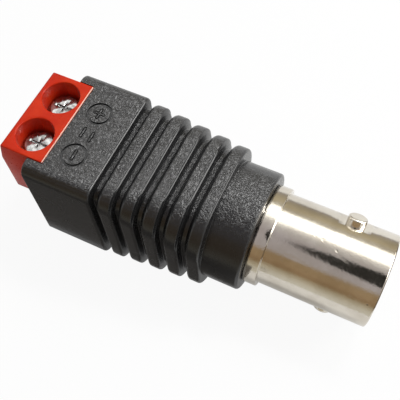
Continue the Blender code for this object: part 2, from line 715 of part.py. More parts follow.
def build_lead(pole, end, sleeve_material):
    """Builds one link lead: its conductor, bare at both ends, and the sleeve round it."""
    start_x = STRIP_REAR - LEAD_BARE_END
    height = STRIP_TOP + LEAD_CORE_RADIUS + STRIP_FIT
    middle = lead_route((STRIP_REAR + LEAD_CORE_RADIUS, POLES[pole], height), (end[0] - LEAD_BARE_END, end[1], end[2]))
    whole = [(start_x, POLES[pole], height)] + middle + [end]
    add_tube(f"lead_core_{pole}", whole, LEAD_CORE_RADIUS, TINNED)
    sleeve = add_tube(f"lead_sleeve_{pole}", middle, LEAD_SLEEVE_RADIUS, sleeve_material)
    hollow = add_tube(f"lead_hollow_{pole}", whole, LEAD_CORE_RADIUS + LEAD_SLEEVE_FIT, cutter=True)
    combine(sleeve, hollow)


def main():
    """Builds every piece in turn."""
    build_housing()
    build_terminal_body()
    for pole, across in POLES.items():
        build_clamp(pole, across)
        build_screw(pole, across)
    build_jack_shell()
    build_jack_inner()
    build_lead("plus", (CONTACT_REAR + CUP_DEPTH - INNER_FIT, 0, 0), RED_SLEEVE)
    tag_inside = -TAG_RADIUS + INNER_FIT + TAG_THICKNESS
    tag_end = TAG_REAR - TAG_TAIL_LENGTH + LEAD_BARE_END - INNER_FIT
    build_lead("minus", (tag_end, tag_inside + LEAD_CORE_RADIUS + STRIP_FIT, 0), BLACK_SLEEVE)


if __name__ == "__main__":
    main()
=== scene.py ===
"""Looks of the jack to two-way screw terminal adapter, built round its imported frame.

Meshes are made in the adapter's own frame, whose x is measured from the housing's terminal end and whose z is
measured from the jack's axis, and are then moved to the row frame. All lengths are in metres.
"""
import logging
import math
from collections.abc import Iterable, Mapping, Sequence
from dataclasses import dataclass
from enum import Enum
from typing import ClassVar

import bmesh
import bpy
from mathutils import Matrix, Vector


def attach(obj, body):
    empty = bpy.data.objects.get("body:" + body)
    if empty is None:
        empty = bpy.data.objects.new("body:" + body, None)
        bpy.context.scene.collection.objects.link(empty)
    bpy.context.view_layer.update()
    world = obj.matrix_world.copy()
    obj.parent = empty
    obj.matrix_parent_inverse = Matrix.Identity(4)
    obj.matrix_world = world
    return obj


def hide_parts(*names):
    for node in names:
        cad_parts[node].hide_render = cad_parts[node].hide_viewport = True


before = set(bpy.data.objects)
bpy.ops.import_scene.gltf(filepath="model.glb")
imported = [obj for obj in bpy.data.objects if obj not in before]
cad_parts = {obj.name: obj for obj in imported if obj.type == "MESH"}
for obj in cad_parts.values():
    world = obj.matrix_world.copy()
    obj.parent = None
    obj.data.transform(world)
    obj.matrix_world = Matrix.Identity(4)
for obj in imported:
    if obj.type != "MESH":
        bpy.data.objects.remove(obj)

LOG = logging.getLogger("adapter")
TO_ROW = Matrix.Translation((-0.016025, 0.0, 0.00675))
CUT = 0.001

Point2 = tuple[float, float]
Point3 = tuple[float, float, float]
Colour = tuple[float, float, float]
Corner = tuple[float, float, float]
Reach = tuple[float, float, float, float]
Sizes = tuple[tuple[str, float], ...]
Mesh = bpy.types.Mesh
Material = bpy.types.Material
Node = bpy.types.Node
Socket = bpy.types.NodeSocket
Sockets = bpy.types.NodeOutputs


class Pole(Enum):
    """The two poles of the terminal block."""

    MINUS = "minus"
    PLUS = "plus"

    @property
    def side(self) -> int:
        """The sign of the pole's place across the block."""
        return 1 if self is Pole.PLUS else -1


class Axis(Enum):
    """The axis that a turned piece is turned about."""

    ALONG = "x"
    UPRIGHT = "z"


class Combine(Enum):
    """What a second solid does to the first."""

    CUT = "DIFFERENCE"
    JOIN = "UNION"


# ---------------------------------------------------------------------------------------------------------
# Mesh making


def rounded(corners: Sequence[Corner], steps: int = 5, closed: bool = False) -> list[Point2]:
    """Rounds the corners of a flat line.

    Args:
        corners: Each corner's two coordinates and its rounding radius.
        steps: How many faces each rounding gets.
        closed: Whether the last corner joins the first.

    Returns:
        The line's points, roundings included.
    """
    line: list[Point2] = []
    count = len(corners)
    for index, (across, up, radius) in enumerate(corners):
        here = Vector((across, up))
        ends = not closed and index in (0, count - 1)
        if radius <= 0 or ends:
            line.append((across, up))
            continue
        before = Vector(corners[index - 1][:2]) - here
        after = Vector(corners[(index + 1) % count][:2]) - here
        half = before.angle(after) / 2
        if half > math.radians(89.5):
            line.append((across, up))
            continue
        trim = min(radius / math.tan(half), before.length * 0.495, after.length * 0.495)
        radius = trim * math.tan(half)
        first = here + before.normalized() * trim
        last = here + after.normalized() * trim
        centre = here + (before.normalized() + after.normalized()).normalized() * (radius / math.sin(half))
        start, end = first - centre, last - centre
        sweep = math.atan2(start.x * end.y - start.y * end.x, start.dot(end))
        for step in range(steps + 1):
            turn = sweep * step / steps
            line.append((
                centre.x + start.x * math.cos(turn) - start.y * math.sin(turn),
                centre.y + start.x * math.sin(turn) + start.y * math.cos(turn),
            ))
    return line


def to_mesh(name: str, work: bmesh.types.BMesh) -> Mesh:
    """Welds a working mesh, turns its faces outwards and stores it.

    Args:
        name: The new mesh's name.
        work: The working mesh, which is freed.

    Returns:
        The stored mesh.
    """
    bmesh.ops.remove_doubles(work, verts=work.verts, dist=2e-7)
    bmesh.ops.dissolve_degenerate(work, edges=work.edges, dist=1e-7)
    bmesh.ops.recalc_face_normals(work, faces=work.faces)
    mesh = bpy.data.meshes.new(name)
    work.to_mesh(mesh)
    work.free()
    return mesh


def loft(name: str, rows: Sequence[Sequence[Point3]], closed: bool = False, capped: bool = True) -> Mesh:
    """Skins a row of closed sections.

    Args:
        name: The new mesh's name.
        rows: The sections, with the same number of points in each.
        closed: Whether the last section joins the first, as in a ring.
        capped: Whether an open loft's two ends are filled.

    Returns:
        The skinned mesh.
    """
    work = bmesh.new()
    built = [[work.verts.new(point) for point in row] for row in rows]
    pairs = list(zip(built, built[1:]))
    if closed:
        pairs.append((built[-1], built[0]))
    count = len(built[0])
    for first, second in pairs:
        for index in range(count):
            after = (index + 1) % count
            work.faces.new((first[index], first[after], second[after], second[index]))
    if capped and not closed:
        work.faces.new(built[0][::-1])
        work.faces.new(built[-1])
    return to_mesh(name, work)


def turned(name: str, profile: Sequence[Point2], steps: int = 96, axis: Axis = Axis.ALONG) -> Mesh:
    """Turns a profile of (along, radius) points round an axis.

    Args:
        name: The new mesh's name.
        profile: The points; a profile that never meets the axis is a closed ring.
        steps: How many faces one turn gets.
        axis: The axis to turn about.

    Returns:
        The turned mesh.
    """
    work = bmesh.new()
    rows = []
    for along, radius in profile:
        row = []
        for step in range(steps if radius > 0 else 1):
            angle = math.tau * step / steps
            flat = (radius * math.cos(angle), radius * math.sin(angle))
            row.append(work.verts.new((along, *flat) if axis is Axis.ALONG else (*flat, along)))
        rows.append(row)
    pairs = list(zip(rows, rows[1:]))
    if all(radius > 0 for _, radius in profile):
        pairs.append((rows[-1], rows[0]))
    for first, second in pairs:
        if len(first) == len(second) == 1:
            continue
        for step in range(steps):
            after = (step + 1) % steps
            corners = [first[step % len(first)], first[after % len(first)],
                       second[after % len(second)], second[step % len(second)]]
            work.faces.new(list(dict.fromkeys(corners)))
    return to_mesh(name, work)


def slab(name: str, outline: Sequence[Point2], low: float, high: float, across: Axis = Axis.UPRIGHT) -> Mesh:
    """Gives a flat outline a thickness.

    Args:
        name: The new mesh's name.
        outline: The outline's points, in (x, y) for an upright slab and in (x, z) for one along the width.
        low: Where the slab starts.
        high: Where the slab ends.
        across: UPRIGHT for a thickness along z, ALONG for one along y.

    Returns:
        The slab.
    """
    rows = []
    for level in (low, high):
        rows.append([(x, y, level) if across is Axis.UPRIGHT else (x, level, y) for x, y in outline])
    return loft(name, rows)


def block(name: str, low: Point3, high: Point3) -> Mesh:
    """Returns a box between two corners."""
    outline = [(low[0], low[1]), (high[0], low[1]), (high[0], high[1]), (low[0], high[1])]
    return slab(name, outline, low[2], high[2])


def moved(mesh: Mesh, change: Matrix) -> Mesh:
    """Returns the mesh after a move or turn."""
    mesh.transform(change)
    return mesh


def linked(name: str, data: bpy.types.ID) -> bpy.types.Object:
    """Returns a new object that is linked to the scene."""
    item = bpy.data.objects.new(name, data)
    bpy.context.scene.collection.objects.link(item)
    return item


def evaluated(carrier: bpy.types.Object) -> Mesh:
    """Returns what an object's modifiers make of its mesh, and removes the object with its mesh."""
    mesh = carrier.data
    graph = bpy.context.evaluated_depsgraph_get()
    result = bpy.data.meshes.new_from_object(carrier.evaluated_get(graph))
    result.name = mesh.name
    bpy.data.objects.remove(carrier)
    bpy.data.meshes.remove(mesh)
    return result


def applied(mesh: Mesh, modifiers: Iterable[tuple[str, dict[str, object]]]) -> Mesh:
    """Runs modifiers over a mesh.

    Args:
        mesh: The mesh, which is removed.
        modifiers: Each modifier's type and its settings.

    Returns:
        The changed mesh.
    """
    carrier = linked("carrier", mesh)
    for kind, settings in modifiers:
        modifier = carrier.modifiers.new(kind, kind)
        for setting, value in settings.items():
            setattr(modifier, setting, value)
    return evaluated(carrier)


def combined(mesh: Mesh, tool: Mesh, how: Combine = Combine.CUT) -> Mesh:
    """Cuts one solid out of another, or joins it on.

    Args:
        mesh: The solid that is changed.
        tool: The other solid, which is removed.
        how: Whether the other solid is cut out or joined on.

    Returns:
        The changed solid.
    """
    cutter = linked("cutter", tool)
    result = applied(mesh, [("BOOLEAN", {"object": cutter, "operation": how.value, "solver": "EXACT"})])
    bpy.data.objects.remove(cutter)
    bpy.data.meshes.remove(tool)
    return result


def softened(mesh: Mesh, width: float, segments: int = 3, limit: float = 35) -> Mesh:
    """Rounds a mesh's sharp edges and weights its shading by face size.

    Args:
        mesh: The mesh, which is removed.
        width: The rounding's width.
        segments: How many faces the rounding gets.
        limit: The least angle, in degrees, of an edge that is rounded.

    Returns:
        The softened mesh.
    """
    mesh.shade_smooth()
    return applied(mesh, [
        ("BEVEL", {"width": width, "segments": segments, "limit_method": "ANGLE",
                   "angle_limit": math.radians(limit), "use_clamp_overlap": True, "harden_normals": False}),
        ("WEIGHTED_NORMAL", {"keep_sharp": True, "weight": 50}),
    ])


def shaded(mesh: Mesh, angle: float = 32) -> Mesh:
    """Shades a mesh smooth, but for edges past an angle in degrees."""
    mesh.shade_smooth()
    mesh.set_sharp_from_angle(angle=math.radians(angle))
    return mesh


def gathered(name: str, meshes: Sequence[Mesh]) -> Mesh:
    """Puts several shells into one mesh.

    Args:
        name: The new mesh's name.
        meshes: The shells, which are removed.

    Returns:
        The mesh with every shell in it.
    """
    work = bmesh.new()
    for mesh in meshes:
        work.from_mesh(mesh)
        bpy.data.meshes.remove(mesh)
    result = bpy.data.meshes.new(name)
    work.to_mesh(result)
    work.free()
    return result


def store_values(mesh: Mesh, name: str, values: Sequence[float]) -> None:
    """Stores a value at each face corner, for a finish to read."""
    mesh.attributes.new(name, "FLOAT", "CORNER").data.foreach_set("value", values)


def sheet(name: str, points: Sequence[Point3]) -> Mesh:
    """Returns one flat face through the points."""
    mesh = bpy.data.meshes.new(name)
    mesh.from_pydata(points, [], [tuple(range(len(points)))])
    return mesh


# ---------------------------------------------------------------------------------------------------------
# Node trees


class Graph:
    """A node tree with short ways to add and join nodes."""

    def __init__(self, tree: bpy.types.NodeTree) -> None:
        """Keeps the tree that nodes are added to."""
        self.tree = tree

    def join(self, node: Node, inputs: Mapping[str | int, object]) -> None:
        """Sets each named input of a node to its value, or joins it to its socket."""
        for name, value in inputs.items():
            if isinstance(value, Socket):
                self.tree.links.new(value, node.inputs[name])
            else:
                node.inputs[name].default_value = value

    def node(self, kind: str, inputs: Mapping[str | int, object] | None = None, **settings: object) -> Node:
        """Adds a node.

        Args:
            kind: The node's type.
            inputs: A value, or a socket to join, for each named input.
            settings: The node's own settings.

        Returns:
            The node.
        """
        node = self.tree.nodes.new(kind)
        for setting, value in settings.items():
            setattr(node, setting, value)
        self.join(node, inputs or {})
        return node

    def place(self) -> Socket:
        """Returns the Object coordinates."""
        return self.node("ShaderNodeTexCoord").outputs["Object"]

    def attribute(self, name: str) -> Socket:
        """Returns a stored value of the mesh."""
        return self.node("ShaderNodeAttribute", attribute_name=name).outputs["Fac"]

    def math(self, operation: str, *values: object, clamp: bool = False) -> Socket:
        """Adds a Math node and returns its result."""
        return self.node("ShaderNodeMath", dict(enumerate(values)), operation=operation, use_clamp=clamp).outputs[0]

    def times(self, first: object, second: object) -> Socket:
        """Returns the product of two values."""
        return self.math("MULTIPLY", first, second)

    def plus(self, first: object, second: object) -> Socket:
        """Returns the sum of two values."""
        return self.math("ADD", first, second)

    def spread(self, value: Socket, low: float, high: float, to_low: float = 0.0, to_high: float = 1.0) -> Socket:
        """Adds a smooth Map Range node and returns its result."""
        return self.node("ShaderNodeMapRange", {
            "Value": value, "From Min": low, "From Max": high, "To Min": to_low, "To Max": to_high,
        }, interpolation_type="SMOOTHSTEP").outputs["Result"]

    def blend(self, share: object, first: object, second: object) -> Socket:
        """Adds a colour Mix node and returns its result."""
        first, second = (item if isinstance(item, Socket) else (*item, 1.0) for item in (first, second))
        return self.node("ShaderNodeMix", {0: share, 6: first, 7: second}, data_type="RGBA").outputs[2]

    def noise(self, vector: Socket, scale: object, detail: float = 2.0,
              roughness: float = 0.5, distortion: float = 0.0) -> Socket:
        """Adds a Noise Texture node and returns its value."""
        return self.node("ShaderNodeTexNoise", {
            "Vector": vector, "Scale": scale, "Detail": detail, "Roughness": roughness, "Distortion": distortion,
        }).outputs[0]

    def bump(self, height: Socket, distance: float) -> Socket:
        """Adds a Bump node at full strength and returns its normal."""
        return self.node("ShaderNodeBump", {"Height": height, "Strength": 1.0, "Distance": distance}).outputs[0]

    def glow(self, colour: object, level: float = 1.0) -> Socket:
        """Adds an Emission node and returns its shader."""
        colour = colour if isinstance(colour, Socket) else (*colour, 1.0)
        return self.node("ShaderNodeEmission", {"Color": colour, "Strength": level}).outputs[0]

    def show(self, shader: Socket, output: str = "Material Output") -> None:
        """Joins a shader to the tree's output."""
        self.join(self.tree.nodes[output], {0: shader})


@dataclass(frozen=True)
class Group:
    """A node group with sizes, other inputs that it carries, and outputs of one kind."""

    name: str
    sizes: Sizes
    outputs: tuple[str, ...]
    kind: ClassVar[str]
    carried: ClassVar[dict[str, str]]
    result: ClassVar[str]

    def tree(self) -> bpy.types.NodeTree:
        """Returns the group's tree, built at its first use."""
        found = bpy.data.node_groups.get(self.name)
        if found:
            return found
        tree = bpy.data.node_groups.new(self.name, self.kind)
        for name, kind in self.carried.items():
            tree.interface.new_socket(name, in_out="INPUT", socket_type=kind)
        for name, value in self.sizes:
            kind = "NodeSocketInt" if isinstance(value, int) else "NodeSocketFloat"
            tree.interface.new_socket(name, in_out="INPUT", socket_type=kind).default_value = value
        for name in self.outputs:
            tree.interface.new_socket(name, in_out="OUTPUT", socket_type=self.result)
        graph = Graph(tree)
        results = self.draw(graph, graph.node("NodeGroupInput").outputs)
        graph.node("NodeGroupOutput", dict(zip(self.outputs, results)))
        return tree

    def draw(self, graph: Graph, source: Sockets) -> Sequence[Socket]:
        """Adds the group's own nodes and returns one socket for each output."""
        raise NotImplementedError


@dataclass(frozen=True)
class Effect(Group):
    """A shader node group that several finishes share."""

    kind: ClassVar[str] = "ShaderNodeTree"
    carried: ClassVar[dict[str, str]] = {"Vector": "NodeSocketVector"}
    result: ClassVar[str] = "NodeSocketFloat"

    def place(self, graph: Graph, vector: Socket, **values: float) -> Sockets:
        """Puts the group into a material.

        Args:
            graph: The material's tree.
            vector: The coordinates that it reads.
            values: Its sizes, by name.

        Returns:
            The group's outputs.
        """
        return graph.node("ShaderNodeGroup", {"Vector": vector, **values}, node_tree=self.tree()).outputs


@dataclass(frozen=True)
class SparkGrain(Effect):
    """The short worm-like flecks of a spark-eroded mould."""

    name: str = "spark_grain"
    sizes: Sizes = (("Scale", 2600.0),)
    outputs: tuple[str, ...] = ("Height", "Peaks")

    def draw(self, graph: Graph, source: Sockets) -> Sequence[Socket]:
        """Mixes warped flecks with a finer grain."""
        vector, scale = source["Vector"], source["Scale"]
        flecks = graph.noise(vector, scale, 2.0, 0.55, 1.3)
        fine = graph.noise(vector, graph.times(scale, 2.3), 1.0, 0.5, 0.4)
        height = graph.plus(graph.times(flecks, 0.72), graph.times(fine, 0.28))
        return height, graph.spread(height, 0.49, 0.62)


@dataclass(frozen=True)
class FineScratches(Effect):
    """Faint straight scratches from handling."""

    name: str = "fine_scratches"
    sizes: Sizes = (("Scale", 700.0),)
    outputs: tuple[str, ...] = ("Mask",)

    def draw(self, graph: Graph, source: Sockets) -> Sequence[Socket]:
        """Draws two sets of drawn-out streaks that cross."""
        masks = []
        for turn, along in ((0.35, 0.05), (1.35, 0.04)):
            leaning = graph.node("ShaderNodeVectorRotate", {
                "Vector": source["Vector"], "Axis": (0.3, 0.2, 1.0), "Angle": turn,
            }).outputs[0]
            drawn = graph.node("ShaderNodeMapping", {"Vector": leaning, "Scale": (along, 1.0, 1.0)}).outputs[0]
            masks.append(graph.spread(graph.noise(drawn, source["Scale"], 1.0, 0.4), 0.70, 0.78))
        return (graph.math("MAXIMUM", *masks),)


@dataclass(frozen=True)
class Specks(Effect):
    """Small round specks, such as dust or pits, scattered at random."""

    name: str = "specks"
    sizes: Sizes = (("Scale", 900.0), ("Size", 0.12), ("Share", 0.1))
    outputs: tuple[str, ...] = ("Mask",)

    def draw(self, graph: Graph, source: Sockets) -> Sequence[Socket]:
        """Keeps the middle of a few cells of a cell pattern."""
        cells = graph.node("ShaderNodeTexVoronoi", {"Vector": source["Vector"], "Scale": source["Scale"]}).outputs
        inside = graph.math("LESS_THAN", cells["Distance"], source["Size"])
        chosen = graph.node("ShaderNodeSeparateColor", {"Color": cells["Color"]}).outputs[0]
        return (graph.times(inside, graph.math("LESS_THAN", chosen, source["Share"])),)


GRAIN = SparkGrain()
SCRATCHES = FineScratches()
SPECKS = Specks()


def new_material(name: str) -> tuple[Material, Graph, Node]:
    """Returns a new material with its tree and its Principled shader."""
    material = bpy.data.materials.new(name)
    material.use_nodes = True
    graph = Graph(material.node_tree)
    return material, graph, graph.tree.nodes["Principled BSDF"]


@dataclass(frozen=True)
class Finish:
    """A material of one of the adapter's parts."""

    name: str
    slot: str

    def material(self) -> Material:
        """Returns the material, built at its first use."""
        found = bpy.data.materials.get(self.name)
        if found:
            return found
        material, graph, shader = new_material(self.name)
        graph.join(shader, self.dress(graph, graph.place()))
        return material

    def dress(self, graph: Graph, place: Socket) -> dict[str, object]:
        """Adds the finish's own nodes and returns what the shader's sockets get."""
        raise NotImplementedError


@dataclass(frozen=True)
class MouldedBlack(Finish):
    """Black plastic from a spark-eroded mould, with its grain strongest on faces that look up or down, which also get a
    lighter ground and pale grain flecks as painted sheen and glints; the sides get a darker ground as painted shade.
    """

    name: str = "moulded_black"
    slot: str = "black_plastic"
    # dark is painted shade for the sides and the marks' grooves, dull is painted sheen for faces that look up or down,
    # and light gives the grain flecks there as painted glints.
    dark: Colour = (0.010, 0.010, 0.0105)
    dull: Colour = (0.018, 0.018, 0.0185)
    light: Colour = (0.095, 0.095, 0.0955)
    scratched: Colour = (0.10, 0.10, 0.10)
    dusty: Colour = (0.42, 0.41, 0.38)
    grain_depth: float = 0.00023

    def dress(self, graph: Graph, place: Socket) -> dict[str, object]:
        """Adds grain, cloudy roughness, faint scratches and dust, with painted sheen and glints on faces that look up
        or down and painted shade on the sides and in the marks' grooves.
        """
        grain = GRAIN.place(graph, place, Scale=2700.0)
        strength = graph.spread(graph.attribute("level"), 0.78, 0.985, 0.05, 1.0)
        scratches = SCRATCHES.place(graph, place, Scale=520.0)["Mask"]
        dust = SPECKS.place(graph, place, Scale=750.0, Size=0.055, Share=0.035)["Mask"]
        cloud = graph.noise(place, 260.0, 3.0)
        # Painted light: faces that look up or down get the lighter ground, and the sides and the marks' grooves get the
        # darker one.
        lit_top_shaded_side = graph.blend(strength, self.dark, self.dull)
        # The grain's peaks are painted pale only on faces that look up or down: painted glints on real grain.
        tone = graph.blend(graph.times(grain["Peaks"], strength), lit_top_shaded_side, self.light)
        marked = graph.blend(graph.times(scratches, 0.10), tone, self.scratched)
        ease = graph.plus(graph.times(strength, 0.06), graph.times(scratches, 0.08))
        height = graph.plus(graph.times(grain["Height"], strength), graph.times(scratches, -0.08))
        return {
            "Base Color": graph.blend(dust, marked, self.dusty),
            "Roughness": graph.math("ADD", graph.spread(cloud, 0.3, 0.7, 0.24, 0.30), ease, clamp=True),
            "Normal": graph.bump(height, self.grain_depth),
            "Specular IOR Level": 0.55,
        }


@dataclass(frozen=True)
class MouldedRed(Finish):
    """Glossy orange-red terminal plastic."""

    name: str = "moulded_red"
    slot: str = "red_plastic"
    deep: Colour = (0.56, 0.021, 0.003)
    pale: Colour = (0.63, 0.035, 0.006)
    pitted: Colour = (0.38, 0.02, 0.006)
    # Pale colour painted on the rear top edge as a highlight, not wear.
    painted_edge_highlight: Colour = (0.95, 0.66, 0.52)
    peel_depth: float = 0.000003

    def dress(self, graph: Graph, place: Socket) -> dict[str, object]:
        """Adds cloudy colour, a faint orange peel, scratches, a pale painted highlight on the rear top edge and a
        little light through the plastic.
        """
        cloud = graph.noise(place, 420.0, 3.0)
        peel = graph.noise(place, 3400.0)
        scratches = SCRATCHES.place(graph, place, Scale=640.0)["Mask"]
        pits = SPECKS.place(graph, place, Scale=1100.0, Size=0.05, Share=0.012)["Mask"]
        tone = graph.blend(pits, graph.blend(graph.spread(cloud, 0.32, 0.68), self.deep, self.pale), self.pitted)
        height = graph.math("SUBTRACT", peel, graph.times(scratches, 0.5))
        return {
            # The rear top edge is painted pale here: a painted highlight.
            "Base Color": graph.blend(graph.times(graph.attribute("painted_highlight"), 0.8), tone, self.painted_edge_highlight),
            "Roughness": graph.plus(graph.spread(peel, 0.3, 0.7, 0.27, 0.35), graph.times(scratches, 0.15)),
            "Normal": graph.bump(height, self.peel_depth),
            "Specular IOR Level": 0.12, "Sheen Weight": 0.18, "Sheen Roughness": 0.3,
            "Subsurface Weight": 0.08, "Subsurface Radius": (0.0012, 0.0003, 0.0001),
        }


@dataclass(frozen=True)
class Plated(Finish):
    """A plated metal whose bumps, pits and stains break up its reflections."""

    name: str = "nickel_plated"
    slot: str = "nickel_plate"
    bright: Colour = (0.70, 0.655, 0.575)
    dull: Colour = (0.60, 0.55, 0.47)
    smooth: float = 0.09
    rough: float = 0.17
    wave_scale: float = 5200.0
    wave_depth: float = 0.0000065
    pits: float = 0.09
    cloud_scale: float = 330.0
    stained: Colour = (0.22, 0.18, 0.13)

    def dress(self, graph: Graph, place: Socket) -> dict[str, object]:
        """Adds waviness, pits with stained floors, and fine scratches."""
        wave = graph.noise(place, self.wave_scale, 2.0, 0.55)
        cloud = graph.noise(place, self.cloud_scale, 3.0, 0.55)
        pits = SPECKS.place(graph, place, Scale=1150.0, Size=0.13, Share=self.pits)["Mask"]
        scratches = SCRATCHES.place(graph, place, Scale=900.0)["Mask"]
        tone = graph.blend(graph.spread(cloud, 0.35, 0.68), self.bright, self.dull)
        height = graph.math("SUBTRACT", wave, graph.times(graph.plus(pits, scratches), 0.6))
        return {
            "Base Color": graph.blend(graph.times(pits, 0.55), tone, self.stained),
            "Roughness": graph.plus(graph.spread(wave, 0.35, 0.7, self.smooth, self.rough),
                                    graph.times(scratches, 0.10)),
            "Normal": graph.bump(height, self.wave_depth),
            "Metallic": 1.0,
        }


@dataclass(frozen=True)
class SoftPlastic(Finish):
    """A matt plastic or PTFE with a faint mottle."""

    name: str = "white_ptfe"
    slot: str = "insulator"
    colour: Colour = (0.80, 0.80, 0.77)
    shade: Colour = (0.70, 0.69, 0.65)
    roughness: float = 0.42
    mark_depth: float = 0.000004

    def dress(self, graph: Graph, place: Socket) -> dict[str, object]:
        """Adds a mottle, turning marks and a soft unevenness."""
        cloud = graph.noise(place, 900.0, 3.0)
        drawn = graph.node("ShaderNodeMapping", {"Vector": place, "Scale": (6.0, 1.0, 1.0)}).outputs[0]
        marks = graph.noise(drawn, 700.0, 1.0)
        return {
            "Base Color": graph.blend(graph.spread(cloud, 0.35, 0.7), self.colour, self.shade),
            "Roughness": graph.spread(marks, 0.3, 0.7, self.roughness - 0.05, self.roughness + 0.08),
            "Normal": graph.bump(marks, self.mark_depth),
        }


BLACK = MouldedBlack()
RED = MouldedRed()
NICKEL = Plated()
ZINC = Plated("zinc_plated", "zinc_plate", (0.46, 0.46, 0.45), (0.22, 0.22, 0.215), smooth=0.12, rough=0.19,
              wave_scale=2600.0, wave_depth=0.0000028, pits=0.10, cloud_scale=2400.0)
TIN = Plated("tin_plated", "tin_plate", (0.72, 0.72, 0.70), (0.60, 0.60, 0.58), smooth=0.28, rough=0.40,
             wave_scale=2600.0, wave_depth=0.000004, pits=0.04)
GILT = Plated("gilt", "gilt", (0.86, 0.62, 0.26), (0.74, 0.50, 0.18), smooth=0.12, rough=0.22,
              wave_scale=3000.0, wave_depth=0.000002, pits=0.02)
PTFE = SoftPlastic()
RED_SLEEVE = SoftPlastic("red_sleeve_vinyl", "red_sleeve", (0.42, 0.025, 0.015), (0.34, 0.02, 0.012), 0.38)
BLACK_SLEEVE = SoftPlastic("black_sleeve_vinyl", "black_sleeve", (0.022, 0.022, 0.023), (0.014, 0.014, 0.015), 0.40)


# ---------------------------------------------------------------------------------------------------------
# The bench that puts finished pieces on the frame


class Bench:
    """Puts finished meshes in the scene and ties each to the body that carries it."""

    def __init__(self) -> None:
        """Keeps the pieces in a collection of their own."""
        self.shelf = bpy.data.collections.new("dressed_adapter")
        bpy.context.scene.collection.children.link(self.shelf)

    def add(self, name: str, mesh: Mesh, finish: Finish, body: str, *nodes: str) -> bpy.types.Object:
        """Adds a piece.

        Args:
            name: The piece's name.
            mesh: Its mesh, in the adapter's own frame.
            finish: Its material.
            body: The body that it rides on.
            nodes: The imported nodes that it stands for.

        Returns:
            The piece.
        """
        mesh.name = name
        mesh.transform(TO_ROW)
        mesh.materials.clear()
        mesh.materials.append(finish.material())
        piece = bpy.data.objects.new(name, mesh)
        self.shelf.objects.link(piece)
        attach(piece, body)
        if nodes:
            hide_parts(*nodes)
        LOG.info("%s: %d faces, rides on %s", name, len(mesh.polygons), body)
        return piece

    @staticmethod
    def dress(node: str, finish: Finish) -> None:
        """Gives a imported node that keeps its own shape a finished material."""
        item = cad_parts[node]
        item.data.materials.clear()
        item.data.materials.append(finish.material())
        LOG.info("%s keeps its packed shape", node)


# ---------------------------------------------------------------------------------------------------------
# Geometry Nodes that make what repeats or follows a path


@dataclass(frozen=True)
class NodeMaker(Group):
    """A Geometry Nodes tree that is run once over a carrier and turned into a plain mesh."""

    outputs: tuple[str, ...] = ("Geometry",)
    kind: ClassVar[str] = "GeometryNodeTree"
    carried: ClassVar[dict[str, str]] = {"Geometry": "NodeSocketGeometry", "Material": "NodeSocketMaterial"}
    result: ClassVar[str] = "NodeSocketGeometry"

    def draw(self, graph: Graph, source: Sockets) -> Sequence[Socket]:
        """Makes the shape's copies real and sets their material."""
        real = graph.node("GeometryNodeRealizeInstances", {"Geometry": self.shape(graph, source)}).outputs[0]
        return graph.node("GeometryNodeSetMaterial", {"Geometry": real, "Material": source["Material"]}).outputs[:1]

    def shape(self, graph: Graph, source: Sockets) -> Socket:
        """Adds the tree's own nodes and returns its geometry."""
        raise NotImplementedError

    def made(self, start: Mesh, finish: Finish, **values: float) -> Mesh:
        """Runs the tree over a mesh.

        Args:
            start: The mesh that the tree starts from, which is removed.
            finish: The material that it sets.
            values: Its sizes, with _ for a space.

        Returns:
            The plain mesh that it makes.
        """
        carrier = linked("carrier", start)
        modifier = carrier.modifiers.new(self.name, "NODES")
        modifier.node_group = self.tree()
        names = {item.name: item.identifier for item in modifier.node_group.interface.items_tree
                 if item.in_out == "INPUT"}
        for name, value in values.items():
            modifier[names[name.replace("_", " ")]] = value
        modifier[names["Material"]] = finish.material()
        return evaluated(carrier)


@dataclass(frozen=True)
class ThreadMaker(NodeMaker):
    """A screw thread: a tooth that follows a helix round the shank."""

    name: str = "screw_thread"
    sizes: Sizes = (("Turns", 4.0), ("Radius", 0.0011), ("Pitch", 0.00045), ("Tooth", 0.0001))

    def shape(self, graph: Graph, source: Sockets) -> Socket:
        """Sweeps a small diamond along a spiral."""
        helix = graph.node("GeometryNodeCurveSpiral", {
            "Resolution": 40, "Rotations": source["Turns"], "Start Radius": source["Radius"],
            "End Radius": source["Radius"], "Height": graph.times(source["Turns"], source["Pitch"]),
        }).outputs[0]
        steady = graph.node("GeometryNodeSetCurveNormal", {"Curve": helix}, mode="Z_UP").outputs[0]
        tooth = graph.node("GeometryNodeCurvePrimitiveCircle", {"Resolution": 4, "Radius": source["Tooth"]}).outputs[0]
        return graph.node("GeometryNodeCurveToMesh", {
            "Curve": steady, "Profile Curve": tooth, "Fill Caps": True,
        }).outputs[0]


